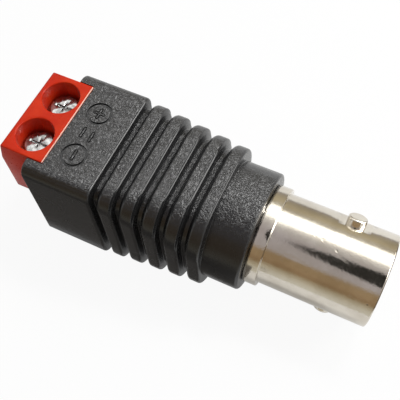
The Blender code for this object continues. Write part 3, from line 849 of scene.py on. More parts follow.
@dataclass(frozen=True)
class StrandMaker(NodeMaker):
    """A stranded conductor: wires laid in a twist round a middle one, along a path of edges."""

    name: str = "twisted_strands"
    sizes: Sizes = (("Strands", 6), ("Strand Radius", 0.00011), ("Twist", 9.0))

    def shape(self, graph: Graph, source: Sockets) -> Socket:
        """Sweeps a ring of small circles along the path while it turns."""
        path = graph.node("GeometryNodeMeshToCurve", {"Mesh": source["Geometry"]}).outputs[0]
        even = graph.node("GeometryNodeResampleCurve", {"Curve": path, "Count": 60}).outputs[0]
        share = graph.node("GeometryNodeSplineParameter").outputs["Factor"]
        twisted = graph.node("GeometryNodeSetCurveTilt", {
            "Curve": even, "Tilt": graph.times(share, source["Twist"]),
        }).outputs[0]
        wire, ring = (graph.node("GeometryNodeCurvePrimitiveCircle", {
            "Resolution": count, "Radius": radius,
        }).outputs[0] for count, radius in ((10, source["Strand Radius"]),
                                            (source["Strands"], graph.times(source["Strand Radius"], 2.02))))
        spots = graph.node("GeometryNodeCurveToPoints", {"Curve": ring, "Count": source["Strands"]}).outputs[0]
        around = graph.node("GeometryNodeInstanceOnPoints", {"Points": spots, "Instance": wire}).outputs[0]
        bundle = graph.node("GeometryNodeJoinGeometry")
        for part in (around, wire):
            graph.join(bundle, {0: part})
        profile = graph.node("GeometryNodeRealizeInstances", {"Geometry": bundle.outputs[0]}).outputs[0]
        return graph.node("GeometryNodeCurveToMesh", {
            "Curve": twisted, "Profile Curve": profile, "Fill Caps": True,
        }).outputs[0]


THREAD = ThreadMaker()
STRANDS = StrandMaker()


# ---------------------------------------------------------------------------------------------------------
# The adapter's sub-assemblies


@dataclass
class Housing:
    """The black one-piece moulding: a square block that turns into a round collar over five rings."""

    half: float = 0.00675
    block_length: float = 0.0075
    block_corner: float = 0.0013
    end_rounding: float = 0.00018
    rings: int = 5
    pitch: float = 0.00233
    groove_depth: float = 0.00085
    crest_rounding: float = 0.00034
    rise_rounding: float = 0.00045
    crest_end: float = 0.00008
    floor_start: float = 0.00018
    floor_end: float = 0.00064
    rise_end: float = 0.00102
    floor_roundings: Point2 = (0.00010, 0.00012)
    first_corner: float = 0.0021
    corner_step: float = 0.00063
    collar_radius: float = 0.00635
    collar_end: float = 0.0232
    collar_rounding: float = 0.00028
    bore: float = 0.00482
    bore_edge: float = 0.0001
    tail_bore: float = 0.0044
    tail_bore_end: float = 0.0085
    lip: float = 0.00006
    mouth_inset: Point2 = (0.0004, 0.0003)
    pocket_rear: float = 0.0018
    pocket_half: float = 0.00516
    pocket_floor: float = -0.00161
    corner_steps: int = 14
    ring_steps: int = 72
    marks: tuple[Point2, ...] = ((0.00397, 0.00235), (0.00414, -0.00300))
    dashes: tuple[tuple[Point2, float], ...] = (((0.00358, -0.00030), 0.00052), ((0.00463, -0.00050), 0.00050))
    mark_radius: float = 0.00123
    mark_reach: float = 0.00052
    mark_depth: float = 0.00019
    mark_stand: float = 0.00004
    shell_sink: float = 0.00005
    ring_groove: Point2 = (0.00012, 0.00016)
    ring_ridge: Point2 = (0.00006, 0.00003)
    stroke_groove: Point2 = (0.00017, 0.00023)
    stroke_ridge: tuple[float, float, float] = (0.00011, 0.0001, 0.00006)

    def section(self, along: float, half: float, corner: float) -> list[Point3]:
        """Returns one rounded square of the loft."""
        corner = max(min(corner, half), 0.0)
        points = []
        for quarter, (side, rise) in enumerate(((1, 1), (-1, 1), (-1, -1), (1, -1))):
            for step in range(self.corner_steps + 1):
                angle = (quarter + step / self.corner_steps) * math.pi / 2
                points.append((along, side * (half - corner) + corner * math.cos(angle),
                               rise * (half - corner) + corner * math.sin(angle)))
        return points

    def outer_line(self) -> list[Corner]:
        """Returns the (along, drop, outer corner) of each section from the terminal end to the last ring."""
        corners: list[Corner] = [(0.0, -0.0012, 0.0), (0.0, 0.0, self.end_rounding)]
        for index in range(self.rings):
            groove = self.block_length + index * self.pitch
            corners += [
                (groove + self.crest_end, 0.0, self.crest_rounding),
                (groove + self.floor_start, -self.groove_depth, self.floor_roundings[0]),
                (groove + self.floor_end, -self.groove_depth, self.floor_roundings[1]),
                (groove + self.rise_end, 0.0, self.rise_rounding),
            ]
        end = self.block_length + self.rings * self.pitch
        corners += [(end, 0.0, self.crest_rounding), (end + 0.0001, -0.00045, 0.0)]
        line = rounded(corners, steps=6)
        return [(along, -down, self.corner_at(along)) for along, down in line[1:-1]]

    def corner_at(self, along: float) -> float:
        """Returns the outer corner radius of the moulding at a place along it."""
        if along < self.block_length + 0.0001:
            return self.block_corner
        index = min(int((along - self.block_length) / self.pitch + 1e-6), self.rings - 1)
        return self.first_corner + index * self.corner_step

    def body_mesh(self) -> Mesh:
        """Skins the outside, the collar, the bore and the cavity in one loft."""
        rows = [self.section(0.0, self.half - self.mouth_inset[0], self.block_corner - self.mouth_inset[1])]
        rows += [self.section(along, self.half - drop, corner - drop) for along, drop, corner in self.outer_line()]
        start = self.block_length + self.rings * self.pitch
        around = rounded([
            (start + self.lip, self.collar_radius + self.lip, 0.0),
            (start + self.bore_edge, self.collar_radius, 0.0),
            (self.collar_end, self.collar_radius, self.collar_rounding),
            (self.collar_end, self.bore + self.bore_edge, 0.0),
            (self.collar_end - self.bore_edge, self.bore, 0.0),
            (self.tail_bore_end, self.bore, 0.0),
            (self.tail_bore_end, self.tail_bore, 0.0),
            (self.pocket_rear - self.lip, self.tail_bore, 0.0),
        ], steps=8)
        rows += [self.section(along, radius, radius) for along, radius in around]
        return loft("housing", rows)

    def ring(self, place: Point2, radius: float, profile: Sequence[Point2]) -> Mesh:
        """Makes a ring that lies flat.

        Args:
            place: The ring's middle.
            radius: The middle radius of its line.
            profile: The line's own (out, up) section.

        Returns:
            The ring.
        """
        rows = []
        for step in range(self.ring_steps):
            angle = math.tau * step / self.ring_steps
            rows.append([(place[0] + (radius + out) * math.cos(angle), place[1] + (radius + out) * math.sin(angle), up)
                         for out, up in profile])
        return loft("ring", rows, closed=True)

    @staticmethod
    def bar(place: Point2, turn: float, reach: float, rows: Sequence[Point2]) -> Mesh:
        """Makes a round-ended bar that lies flat.

        Args:
            place: The bar's middle.
            turn: Its direction in degrees from the jack's axis.
            reach: Half the distance between its end centres.
            rows: The (half width, height) of each of its levels from the bottom up.

        Returns:
            The bar.
        """
        levels = []
        for width, high in rows:
            level = []
            for end, start in ((1, -90), (-1, 90)):
                for step in range(9):
                    angle = math.radians(start + step * 22.5)
                    level.append((end * reach + width * math.cos(angle), width * math.sin(angle), high))
            levels.append(level)
        change = Matrix.Translation((*place, 0.0)) @ Matrix.Rotation(math.radians(turn), 4, "Z")
        return moved(loft("bar", levels), change)

    def strokes(self) -> list[tuple[Point2, float, float]]:
        """Returns the place, direction and half length of each straight stroke of the marks."""
        plus, minus = self.marks
        marked = [(place, turn, self.mark_reach) for place, turn in ((plus, 0.0), (plus, 90.0), (minus, 90.0))]
        return marked + [(place, 90.0, reach) for place, reach in self.dashes]

    def add_marks(self, mesh: Mesh) -> Mesh:
        """Sinks a groove for each polarity mark and leaves a raised stroke standing in it.

        Args:
            mesh: The moulding, which is removed.

        Returns:
            The moulding with its marks.
        """
        top, deep, high = self.half, self.half - self.mark_depth, self.half + self.mark_stand
        floor, mouth = self.ring_groove
        groove = [(-mouth, top + CUT), (-floor, deep), (floor, deep), (mouth, top + CUT)]
        for place in self.marks:
            mesh = combined(mesh, self.ring(place, self.mark_radius, groove))
        floor, mouth = self.stroke_groove
        for stroke in self.strokes():
            mesh = combined(mesh, self.bar(*stroke, [(floor, deep), (mouth, top + CUT)]))
        foot, crest = self.ring_ridge
        ridge = [(-foot, deep - self.shell_sink), (-crest, deep + foot), (crest, deep + foot),
                 (foot, deep - self.shell_sink)]
        shells = [self.ring(place, self.mark_radius - 0.00001, ridge) for place in self.marks]
        levels = list(zip(self.stroke_ridge, (deep - self.shell_sink, high - 0.00002, high)))
        shells += [self.bar(*stroke, levels) for stroke in self.strokes()]
        return gathered("housing", [mesh, shaded(gathered("strokes", shells), 40)])

    def build(self, bench: Bench) -> None:
        """Cuts the pocket, rounds its rim, adds the marks and puts the housing on the bench."""
        mesh = shaded(self.body_mesh(), 40)
        pocket = block("pocket", (-CUT, -self.pocket_half, self.pocket_floor),
                       (self.pocket_rear, self.pocket_half, self.half + CUT))
        mesh = self.add_marks(softened(combined(mesh, pocket), 0.00008, 2, 50))
        self.record_level(mesh)
        bench.add("housing_moulding", mesh, BLACK, "adapter", "housing")

    def record_level(self, mesh: Mesh) -> None:
        """Stores how far each face corner looks up or down, which the grain and the painted sheen read, and 0 in the
        marks' grooves, which gives them the darker ground as painted shade.
        """
        values = [abs(normal.vector.z) for normal in mesh.corner_normals]
        for face in mesh.polygons:
            # A 0 here gives the marks' grooves the dark ground and no grain: painted shade.
            if self.in_mark(face, min(mesh.vertices[index].co.z for index in face.vertices)):
                for corner in face.loop_indices:
                    values[corner] = 0.0
        store_values(mesh, "level", values)

    def in_mark(self, face: bpy.types.MeshPolygon, low: float) -> bool:
        """Tells whether a face, whose lowest point is given, lies in a mark's groove."""
        return (0.0 < face.center.x < self.block_length - self.crest_rounding
                and self.half - 2 * self.mark_depth < low < self.half - 0.00003
                and abs(face.center.y) < self.pocket_half)


@dataclass
class TerminalBlock:
    """The red terminal moulding with its screw wells, clamp chambers and wire entries."""

    front: float = -0.0039
    rear: float = 0.00174
    top: float = 0.0068
    bottom: float = -0.00155
    half: float = 0.0051
    slope_out: float = 0.0007
    slope_down: float = 0.0026
    well_radius: float = 0.00197
    well_x: float = -0.00071
    pole_reach: float = 0.0025
    clamp_top: float = 0.0029
    chamber_half: float = 0.0019
    chamber_front: float = -0.00271
    chamber_floor: float = -0.00115
    entry_half: float = 0.0013
    entry_low: float = -0.0004
    entry_high: float = 0.0018
    flare: float = 0.0004
    soft: float = 0.00013
    rim_steps: int = 4

    def build(self, bench: Bench) -> None:
        """Cuts every well, chamber and entry and adds the moulding to the bench."""
        outline = rounded([
            (self.front + self.slope_out, self.top, 0.00025), (self.front, self.top - self.slope_down, 0.0004),
            (self.front, self.bottom, self.soft), (self.rear, self.bottom, self.soft), (self.rear, self.top, self.soft),
        ], 5, closed=True)
        mesh = softened(slab("terminal", outline, -self.half, self.half, Axis.ALONG), self.soft, 4, 50)
        for pole in Pole:
            across = pole.side * self.pole_reach
            for tool in (
                block("chamber", (self.chamber_front, across - self.chamber_half, self.chamber_floor),
                      (self.rear + CUT, across + self.chamber_half, self.clamp_top + 0.0001)),
                self.well_mesh(across),
                block("entry", (self.front - CUT, across - self.entry_half, self.entry_low),
                      (self.well_x, across + self.entry_half, self.entry_high)),
                self.flare_mesh(across),
            ):
                mesh = combined(mesh, tool)
        shaded(mesh, 30)
        self.record_painted_highlight(mesh)
        bench.add("terminal_moulding", mesh, RED, "adapter", "terminal_body")

    def well_mesh(self, across: float) -> Mesh:
        """Returns one pole's screw well with its rounded rim."""
        floor = self.clamp_top - 0.0001
        rim = []
        for step in range(self.rim_steps + 1):
            angle = math.pi / 2 * step / self.rim_steps
            rim.append((self.top - self.soft * (1 - math.cos(angle)),
                        self.well_radius + self.soft * (1 - math.sin(angle))))
        well = turned("well", [(self.top + CUT, 0), (self.top + CUT, self.well_radius + self.soft), *rim,
                               (floor, self.well_radius), (floor, 0)], 96, Axis.UPRIGHT)
        return moved(well, Matrix.Translation((self.well_x, across, 0)))

    def record_painted_highlight(self, mesh: Mesh) -> None:
        """Stores where the rear top edge gets its pale painted highlight, which the red finish reads."""
        values = [0.0] * len(mesh.loops)
        for face in mesh.polygons:
            # These faces get the pale painted highlight.
            on_edge = face.center.x > self.rear - self.soft and face.center.z > self.top - self.soft
            if on_edge and face.normal.x > 0.2 and face.normal.z > 0.2:
                for corner in face.loop_indices:
                    values[corner] = 1.0
        store_values(mesh, "painted_highlight", values)

    def flare_mesh(self, across: float) -> Mesh:
        """Returns the tapered mouth of one wire entry."""
        rows = []
        for along, grow in ((self.front - self.flare, 2 * self.flare), (self.front + self.flare, 0.0)):
            wide = self.entry_half + grow
            low, high = self.entry_low - grow, self.entry_high + grow
            rows.append([(along, across - wide, low), (along, across + wide, low),
                         (along, across + wide, high), (along, across - wide, high)])
        return loft("flare", rows)


@dataclass
class Clamp:
    """One pole's clamp: its box, contact strip, screw and pressure plate."""

    pole: Pole
    x: float = -0.00071
    reach: float = 0.0025
    head_top: float = 0.0051
    head_bottom: float = 0.00405
    head_radius: float = 0.00165
    shank_radius: float = 0.00112
    tip: float = 0.0011
    pitch: float = 0.00045
    tooth: float = 0.00014
    slot_width: float = 0.00024
    slot_depth: float = 0.00030
    slot_reach: float = 0.00095
    cross_reach: float = 0.00055
    box_half: Point2 = (0.0019, 0.0018)
    box_levels: Point2 = (-0.00105, 0.0029)
    window_half: float = 0.0013
    window_levels: Point2 = (-0.00075, 0.0019)
    hole_radius: float = 0.00125
    plate_half: Point2 = (0.0013, 0.00105)
    plate_levels: Point2 = (0.0007, 0.001)

    @property
    def place(self) -> Matrix:
        """Returns the move from the pole's own axis to its place in the block."""
        return Matrix.Translation((self.x, self.pole.side * self.reach, 0))

    def screw_mesh(self) -> Mesh:
        """Turns the screw, cuts its recess and winds its thread."""
        core = self.shank_radius - 0.00008
        mesh = turned("screw", rounded([
            (self.head_top, 0, 0), (self.head_top, self.head_radius - 0.0001, 0.0002),
            (self.head_top - 0.00035, self.head_radius, 0.00012), (self.head_bottom, self.head_radius, 0.00006),
            (self.head_bottom, core, 0.00008), (self.tip + 0.00025, core, 0.0), (self.tip, core - 0.00025, 0.00005),
            (self.tip, 0, 0),
        ], 4), 72, Axis.UPRIGHT)
        half = self.slot_width / 2
        for along, across in ((self.slot_reach, half), (half, self.cross_reach)):
            rows = []
            for level, grow in ((self.head_top - self.slot_depth, -0.00004), (self.head_top + 0.0003, 0.00006)):
                rows.append([(sx * (along + grow), sy * (across + grow), level)
                             for sx, sy in ((1, 1), (-1, 1), (-1, -1), (1, -1))])
            mesh = combined(mesh, loft("recess", rows))
        start = self.tip + 0.0003
        turns = (self.head_bottom - 0.0002 - start) / self.pitch
        wound = THREAD.made(bpy.data.meshes.new("thread"), ZINC, Turns=turns, Radius=core, Pitch=self.pitch,
                            Tooth=self.tooth)
        wound = moved(wound, Matrix.Translation((0, 0, start)))
        return gathered("screw", [softened(mesh, 0.00004, 2, 40), wound])

    @staticmethod
    def soft_block(name: str, half: Point2, levels: Point2, width: float) -> Mesh:
        """Returns a rounded box round the upright axis.

        Args:
            name: The new mesh's name.
            half: Its half sizes along the jack's axis and across it.
            levels: Its bottom and its top.
            width: The width of its edges' rounding.

        Returns:
            The box.
        """
        return softened(block(name, (-half[0], -half[1], levels[0]), (*half, levels[1])), width)

    def box_mesh(self) -> Mesh:
        """Makes the clamp box with its window and screw hole."""
        half_x, top, roof = self.box_half[0], self.box_levels[1] + CUT, self.window_levels[1] - 0.0001
        mesh = self.soft_block("box", self.box_half, self.box_levels, 0.00015)
        mesh = combined(mesh, block("window", (-half_x - CUT, -self.window_half, self.window_levels[0]),
                                    (half_x + CUT, self.window_half, self.window_levels[1])))
        hole = turned("hole", [(top, 0), (top, self.hole_radius), (roof, self.hole_radius), (roof, 0)],
                      48, Axis.UPRIGHT)
        return shaded(combined(mesh, hole), 30)

    def build(self, bench: Bench) -> None:
        """Adds the clamp's pieces to the bench."""
        name = self.pole.value
        plate = self.soft_block("plate", self.plate_half, self.plate_levels, 0.0001)
        for piece, mesh, finish, body, node in (
            ("clamp", self.box_mesh(), TIN, "adapter", "clamp_box"),
            ("screw", self.screw_mesh(), ZINC, f"screw_{name}", "terminal_screw"),
            ("plate", plate, ZINC, f"plate_{name}", "pressure_plate"),
        ):
            bench.add(f"{piece}_{name}", moved(mesh, self.place), finish, body, f"{node}_{name}")
        bench.dress(f"contact_strip_{name}", TIN)


@dataclass
class Jack:
    """The turned jack: shell with bayonet studs, insulator, centre contact, bush and ground tag."""

    mouth: float = 0.03595
    flange_start: float = 0.0233
    flange_end: float = 0.02468
    barrel: float = 0.004825
    flange: float = 0.005275
    shank: float = 0.0047
    shank_start: float = 0.0157
    spigot: float = 0.0040
    spigot_start: float = 0.0152
    mouth_bore: float = 0.00405
    seat_bore: float = 0.0035
    seat: float = 0.02755
    web: float = 0.0025
    head_hole: float = 0.0035
    hole: float = 0.0025
    stud_x: float = 0.03159
    stud_turn: float = 53.0
    stud_radius: float = 0.00095
    stud_tip: float = 0.005525
    flat_height: float = 0.0047
    flat_half: float = 0.0020
    flat_end_slope: float = 5.0
    insulator_front: float = 0.03255
    insulator_radius: float = 0.0024
    insulator_head: float = 0.0034
    insulator_head_length: float = 0.006
    insulator_bore: float = 0.00115
    contact_front: float = 0.03235
    contact_rear: float = 0.01885
    contact_radius: float = 0.00105
    contact_bore: float = 0.000675
    contact_bore_depth: float = 0.0052
    contact_slot_length: float = 0.004
    contact_slot_half: float = 0.00012
    tail_end: float = 0.0136
    tail_radius: float = 0.0007
    cup_floor: float = 0.0148
    cup_radius: float = 0.00042
    steps: int = 192
    dents: tuple[tuple[float, float, float], ...] = ((0.02851, 93.1, 0.00030), (0.02938, 96.4, 0.00020))
    dent_rim: float = 0.00004

    def shell_profile(self) -> list[Point2]:
        """Returns the shell's profile, each corner with its own rounding."""
        fine = 0.00008
        return rounded([
            (self.mouth, self.barrel - 0.00012, 0.00005), (self.mouth - 0.00012, self.barrel, 0.00006),
            (self.flange_end, self.barrel, 0.00006), (self.flange_end, self.flange, 0.0001),
            (self.flange_start, self.flange, fine), (self.flange_start, self.shank, 0.0),
            (self.shank_start, self.shank, fine), (self.shank_start, self.spigot, 0.0),
            (self.spigot_start, self.spigot, fine), (self.spigot_start, self.head_hole, 0.0),
            (self.seat - self.web, self.head_hole, 0.0), (self.seat - self.web, self.hole, 0.0),
            (self.seat, self.hole, fine), (self.seat, self.seat_bore, 0.0001),
            (self.mouth - 0.00575, self.seat_bore, 0.00015), (self.mouth - 0.0052, self.mouth_bore, 0.00015),
            (self.mouth - 0.00015, self.mouth_bore, fine), (self.mouth, self.mouth_bore + 0.00015, 0.00005),
        ], 3, closed=True)

    def shell_mesh(self) -> Mesh:
        """Turns the shell, mills its two flats and stands a stud on each."""
        mesh = turned("shell", self.shell_profile(), self.steps)
        high = self.stud_tip + CUT
        half_high = self.flat_half + self.flat_end_slope * (high - self.flat_height)
        outline = rounded([(-half_high, high, 0), (-self.flat_half, self.flat_height, 0.004),
                           (self.flat_half, self.flat_height, 0.004), (half_high, high, 0)], 5)
        root = (self.mouth_bore + self.flat_height) / 2
        pin = rounded([(self.stud_tip, 0, 0), (self.stud_tip, self.stud_radius, 0.00018),
                       (root, self.stud_radius, 0), (root, 0, 0)], 5)
        for index in range(2):
            angle = math.radians(self.stud_turn + 180 * index - 90)
            turn = Matrix.Translation((self.stud_x, 0, 0)) @ Matrix.Rotation(angle, 4, "X")
            mill = slab("mill", outline, -self.barrel, self.barrel, Axis.ALONG)
            mesh = combined(mesh, moved(mill, turn))
            mesh = combined(mesh, moved(turned("stud", pin, 48, Axis.UPRIGHT), turn), Combine.JOIN)
        mesh = self.true_normals(shaded(mesh, 24))
        return gathered("shell", [mesh, *(shaded(self.dent_mesh(*dent), 60) for dent in self.dents)])

    def dent_mesh(self, along: float, around: float, radius: float) -> Mesh:
        """Makes the raised rim of a small knock in the barrel.

        Args:
            along: The knock's place along the jack.
            around: Its place round the barrel in degrees.
            radius: The radius of its open rim.

        Returns:
            The rim.
        """
        rows = []
        for step in range(25):
            angle = math.radians(45 + 270 * step / 24)
            row = []
            for corner in range(8):
                turn = math.tau * corner / 8
                reach = radius + self.dent_rim * math.cos(turn)
                height = self.barrel + 0.6 * self.dent_rim * math.sin(turn)
                place = math.radians(around) + reach * math.sin(angle) / self.barrel
                row.append((along + reach * math.cos(angle), height * math.cos(place), height * math.sin(place)))
            rows.append(row)
        return loft("dent", rows)

    def true_normals(self, mesh: Mesh) -> Mesh:
        """Gives the faces on the barrel's cylinder the normals of a true cylinder."""
        normals = [tuple(normal.vector) for normal in mesh.corner_normals]
        for face in mesh.polygons:
            radii = [math.hypot(*mesh.vertices[index].co[1:]) for index in face.vertices]
            off_barrel = max(abs(radius - self.barrel) for radius in radii) > 2e-6
            if off_barrel or abs(face.normal.x) > 0.2 or math.hypot(*face.center[1:]) < 0.0047:
                continue
            for corner in face.loop_indices:
                point = mesh.vertices[mesh.loops[corner].vertex_index].co
                radius = math.hypot(point.y, point.z)
                normals[corner] = (0.0, point.y / radius, point.z / radius)
        mesh.normals_split_custom_set(normals)
        return mesh

    def contact_mesh(self) -> Mesh:
        """Turns the centre contact and slots its socket."""
        front, deep = self.contact_front, self.contact_front - self.contact_bore_depth
        mesh = turned("contact", rounded([
            (deep, 0, 0), (deep, self.contact_bore, 0), (front - 0.0001, self.contact_bore, 0),
            (front, self.contact_bore + 0.0001, 0.00003), (front, self.contact_radius - 0.0001, 0.00004),
            (front - 0.0001, self.contact_radius, 0.00004), (self.contact_rear, self.contact_radius, 0.00008),
            (self.contact_rear, self.tail_radius, 0), (self.tail_end, self.tail_radius, 0.00005),
            (self.tail_end, self.cup_radius, 0), (self.cup_floor, self.cup_radius, 0), (self.cup_floor, 0, 0),
        ], 3), 64)
        wide, thin = 2 * self.contact_radius, self.contact_slot_half
        for half_y, half_z in ((wide, thin), (thin, wide)):
            mesh = combined(mesh, block("slot", (front - self.contact_slot_length, -half_y, -half_z),
                                        (front + CUT, half_y, half_z)))
        return shaded(mesh, 30)

    def insulator_mesh(self) -> Mesh:
        """Turns the insulator."""
        step = self.seat - self.web - 0.0001
        rear = step - self.insulator_head_length
        return shaded(turned("insulator", rounded([
            (self.insulator_front, self.insulator_radius, 0.00015), (step, self.insulator_radius, 0.0),
            (step, self.insulator_head, 0.0001), (rear, self.insulator_head, 0.0001),
            (rear, self.insulator_bore, 0), (self.insulator_front, self.insulator_bore, 0.00008),
        ], 4, closed=True), 96), 35)

    def build(self, bench: Bench) -> None:
        """Adds the jack's pieces to the bench."""
        bench.add("shell", self.shell_mesh(), NICKEL, "adapter", "jack_shell")
        bench.add("insulator", self.insulator_mesh(), PTFE, "adapter", "jack_insulator")
        bench.add("contact", self.contact_mesh(), GILT, "adapter", "centre_contact")
        bench.dress("retaining_bush", NICKEL)
        bench.dress("ground_tag", TIN)


@dataclass
class LinkLead:
    """One link lead, from a contact strip to the jack: its stranded conductor and its sleeve."""

    pole: Pole
    finish: Finish
    end: Point3
    start_x: float = 0.00299
    sleeve_x: float = 0.00454
    height: float = 0.0
    bare: float = 0.0012
    steps: int = 12
    strand_radius: float = 0.000112
    twist: float = 14.0

    def route(self) -> list[Point3]:
        """Returns the lead's way, a smooth S between two straight ends."""
        start = (self.sleeve_x, self.pole.side * 0.0025, self.height)
        end = (self.end[0] - self.bare, self.end[1], self.end[2])
        points = [(self.start_x, start[1], start[2])]
        for step in range(self.steps + 1):
            share = step / self.steps
            ease = share * share * (3 - 2 * share)
            points.append(tuple(a + (share if axis == 0 else ease) * (b - a)
                                for axis, (a, b) in enumerate(zip(start, end))))
        return points + [self.end]

    def build(self, bench: Bench) -> None:
        """Lays the strands along the route and dresses the sleeve."""
        name = self.pole.value
        points = self.route()
        path = bpy.data.meshes.new("route")
        path.from_pydata(points, [(index, index + 1) for index in range(len(points) - 1)], [])
        mesh = STRANDS.made(path, TIN, Strands=6, Strand_Radius=self.strand_radius, Twist=self.twist)
        bench.add(f"strands_{name}", shaded(mesh, 60), TIN, "adapter", f"lead_core_{name}")
        bench.dress(f"lead_sleeve_{name}", self.finish)


# ---------------------------------------------------------------------------------------------------------
# Studio and camera


@dataclass
class Studio:
    """A pale floor, the cards that only gloss sees, dark sheets of painted shade on the floor that only gloss sees,
    three soft lamps and the camera.
    """

    eye: Point3 = (0.014653, -0.026615, 0.06474)
    right: Point3 = (0.90323, 0.42817, -0.02902)
    up: Point3 = (-0.36505, 0.80211, 0.4726)
    back: Point3 = (0.22563, -0.41628, 0.8808)
    lens: float = 55.951
    surround: tuple[tuple[float, Colour], ...] = (
        (0.0, (0.42, 0.39, 0.39)), (5.0, (0.40, 0.36, 0.30)), (15.0, (0.44, 0.385, 0.28)),
        (28.0, (0.56, 0.49, 0.34)), (39.0, (0.58, 0.54, 0.45)), (45.0, (0.80, 0.78, 0.72)), (51.0, (1.9, 1.9, 1.88)),
        (73.0, (2.1, 2.1, 2.08)), (80.0, (0.95, 0.94, 0.93)), (90.0, (0.62, 0.60, 0.61)),
        (105.0, (0.50, 0.47, 0.50)), (141.0, (0.48, 0.45, 0.47)), (151.0, (0.37, 0.27, 0.16)),
        (165.0, (0.38, 0.27, 0.16)), (174.0, (0.31, 0.21, 0.12)), (178.0, (0.33, 0.24, 0.14)),
        (186.0, (0.52, 0.47, 0.36)), (191.0, (0.63, 0.60, 0.51)), (200.0, (0.72, 0.71, 0.65)))
    level: float = 0.32
    card_radius: float = 0.30
    card_steps: int = 48
    card_drop: float = -0.006
    card_edge: float = -0.018
    card_reach: Point2 = (-0.30, 0.34)
    card_height: float = 0.0065
    # Dark sheets on the floor that only gloss sees, near the adapter and past the mouth: painted shade of the floor in
    # reflections.
    shade_sheets: tuple[tuple[str, Reach, Colour], ...] = (
        ("near_shade_sheet", (-0.30, 0.0065, -0.030, -0.0072), (0.14, 0.13, 0.12)),
        ("end_shade_sheet", (0.032, 0.30, -0.20, 0.06), (0.20, 0.15, 0.10)))
    shade_sheet_height: float = 0.0008
    end_card: tuple[Point2, Point2] = ((0.11, 0.25), (0.25, 0.03))
    end_card_width: Point2 = (0.0, 0.22)
    end_card_level: float = 6.0
    lens_shape: tuple[Point2, ...] = (
        (0.0075, -0.0245), (0.0086, -0.0198), (0.0108, -0.0165), (0.0145, -0.0142), (0.018, -0.0108), (0.030, -0.007),
        (0.036, -0.010), (0.036, -0.051), (0.027, -0.0485), (0.021, -0.0455), (0.016, -0.0400), (0.0120, -0.0360),
        (0.0098, -0.0320), (0.0083, -0.0285))
    lens_height: float = 0.066
    lamps: tuple[tuple[str, Point3, Point2, float], ...] = (
        ("wide_lamp", (0.03, 0.118, 0.189), (0.23, 0.085), 0.8),
        ("core_lamp", (0.03, 0.10, 0.20), (0.05, 0.03), 38.0),
        ("edge_lamp", (0.138, 0.10, 0.158), (0.09, 0.04), 20.0))
    lamp_aim: Point3 = (0.0, 0.0, 0.008)

    def build(self) -> None:
        """Adds the floor, the world, the cards, the dark sheets of painted shade, the lamps and the camera."""
        self.add_floor()
        self.add_world()
        self.add_surround_card()
        self.add_lens_card()
        self.add_end_card()
        for shade_sheet in self.shade_sheets:
            self.add_shade_sheet(*shade_sheet)
        for lamp in self.lamps:
            self.add_lamp(*lamp)
        self.add_camera()

    @staticmethod
    def seen_plain(graph: Graph, lit: Socket, plain: Socket,
                   shares: tuple[float, float, float]) -> Socket:
        """Mixes in a plain shader for what the eye, gloss and glass see.

        Args:
            graph: The tree.
            lit: The shader that gives light and takes shadow.
            plain: The plain shader.
            shares: How much of it camera, glossy and transmission rays see.

        Returns:
            The mixed shader.
        """
        rays = graph.node("ShaderNodeLightPath").outputs
        parts = [graph.times(rays[name], share)
                 for name, share in zip(("Is Camera Ray", "Is Glossy Ray", "Is Transmission Ray"), shares)]
        share = graph.math("MAXIMUM", graph.math("MAXIMUM", parts[0], parts[1]), parts[2])
        return graph.node("ShaderNodeMixShader", {0: share, 1: lit, 2: plain}).outputs[0]

    def add_floor(self, reach: float = 1.5, drop: float = 0.00002) -> None:
        """Adds the floor, white to the eye but for the adapter's shadow.

        Args:
            reach: How far it goes each way.
            drop: How far it lies under the adapter.
        """
        mesh = sheet("floor", [(-reach, -reach, 0), (reach, -reach, 0), (reach, reach, 0), (-reach, reach, 0)])
        material, graph, shader = new_material("floor_paper")
        fibre = graph.noise(graph.place(), 900.0, 3.0)
        graph.join(shader, {"Base Color": graph.blend(fibre, (0.84, 0.84, 0.83), (0.88, 0.88, 0.87)),
                            "Roughness": 0.9, "Specular IOR Level": 0.2})
        graph.show(self.seen_plain(graph, shader.outputs[0], graph.glow((1, 1, 1)), (0.93, 0.35, 0.93)))
        mesh.materials.append(material)
        floor = linked("floor", mesh)
        floor.location.z = -drop

    def add_world(self) -> None:
        """Sets a surround that is white to the eye, gloss and glass, and gives a plain level of light."""
        world = bpy.data.worlds.new("surround")
        bpy.context.scene.world = world
        world.use_nodes = True
        graph = Graph(world.node_tree)
        soft, white = (graph.node("ShaderNodeBackground", {"Color": (1, 1, 1, 1), "Strength": strength}).outputs[0]
                       for strength in (self.level, 1.0))
        graph.show(self.seen_plain(graph, soft, white, (1.0, 1.0, 1.0)), "World Output")

    def add_surround_card(self) -> None:
        """Adds the curved card over the adapter, whose bands the metal mirrors."""
        turns = [math.pi * step / self.card_steps for step in range(self.card_steps + 1)]
        line = [(self.card_radius * math.cos(turn), self.card_radius * math.sin(turn)) for turn in turns]
        line += [(-self.card_radius, self.card_drop), (self.card_edge, self.card_drop)]
        count = len(line)
        mesh = bpy.data.meshes.new("surround_card")
        mesh.from_pydata([(along, across, up) for along in self.card_reach for across, up in line], [],
                         [(step, step + 1, step + 1 + count, step + count) for step in range(count - 1)])
        material, graph, _ = new_material("surround_card")
        ways = graph.node("ShaderNodeSeparateXYZ", {0: graph.place()}).outputs
        last = self.surround[-1][0]
        angle = graph.math("ARCTAN2", graph.times(ways["Y"], -1.0), ways["Z"])
        angle = graph.math("DIVIDE", graph.plus(angle, math.pi / 2), math.radians(last), clamp=True)
        ramp = graph.node("ShaderNodeValToRGB", {0: angle})
        stops = ramp.color_ramp.elements
        while len(stops) < len(self.surround):
            stops.new(0.5)
        for stop, (degrees, colour) in zip(stops, self.surround):
            stop.position = degrees / last
            stop.color = (*colour, 1.0)
        graph.show(graph.glow(ramp.outputs[0]))
        self.add_card("surround_card", mesh, material, self.card_height)

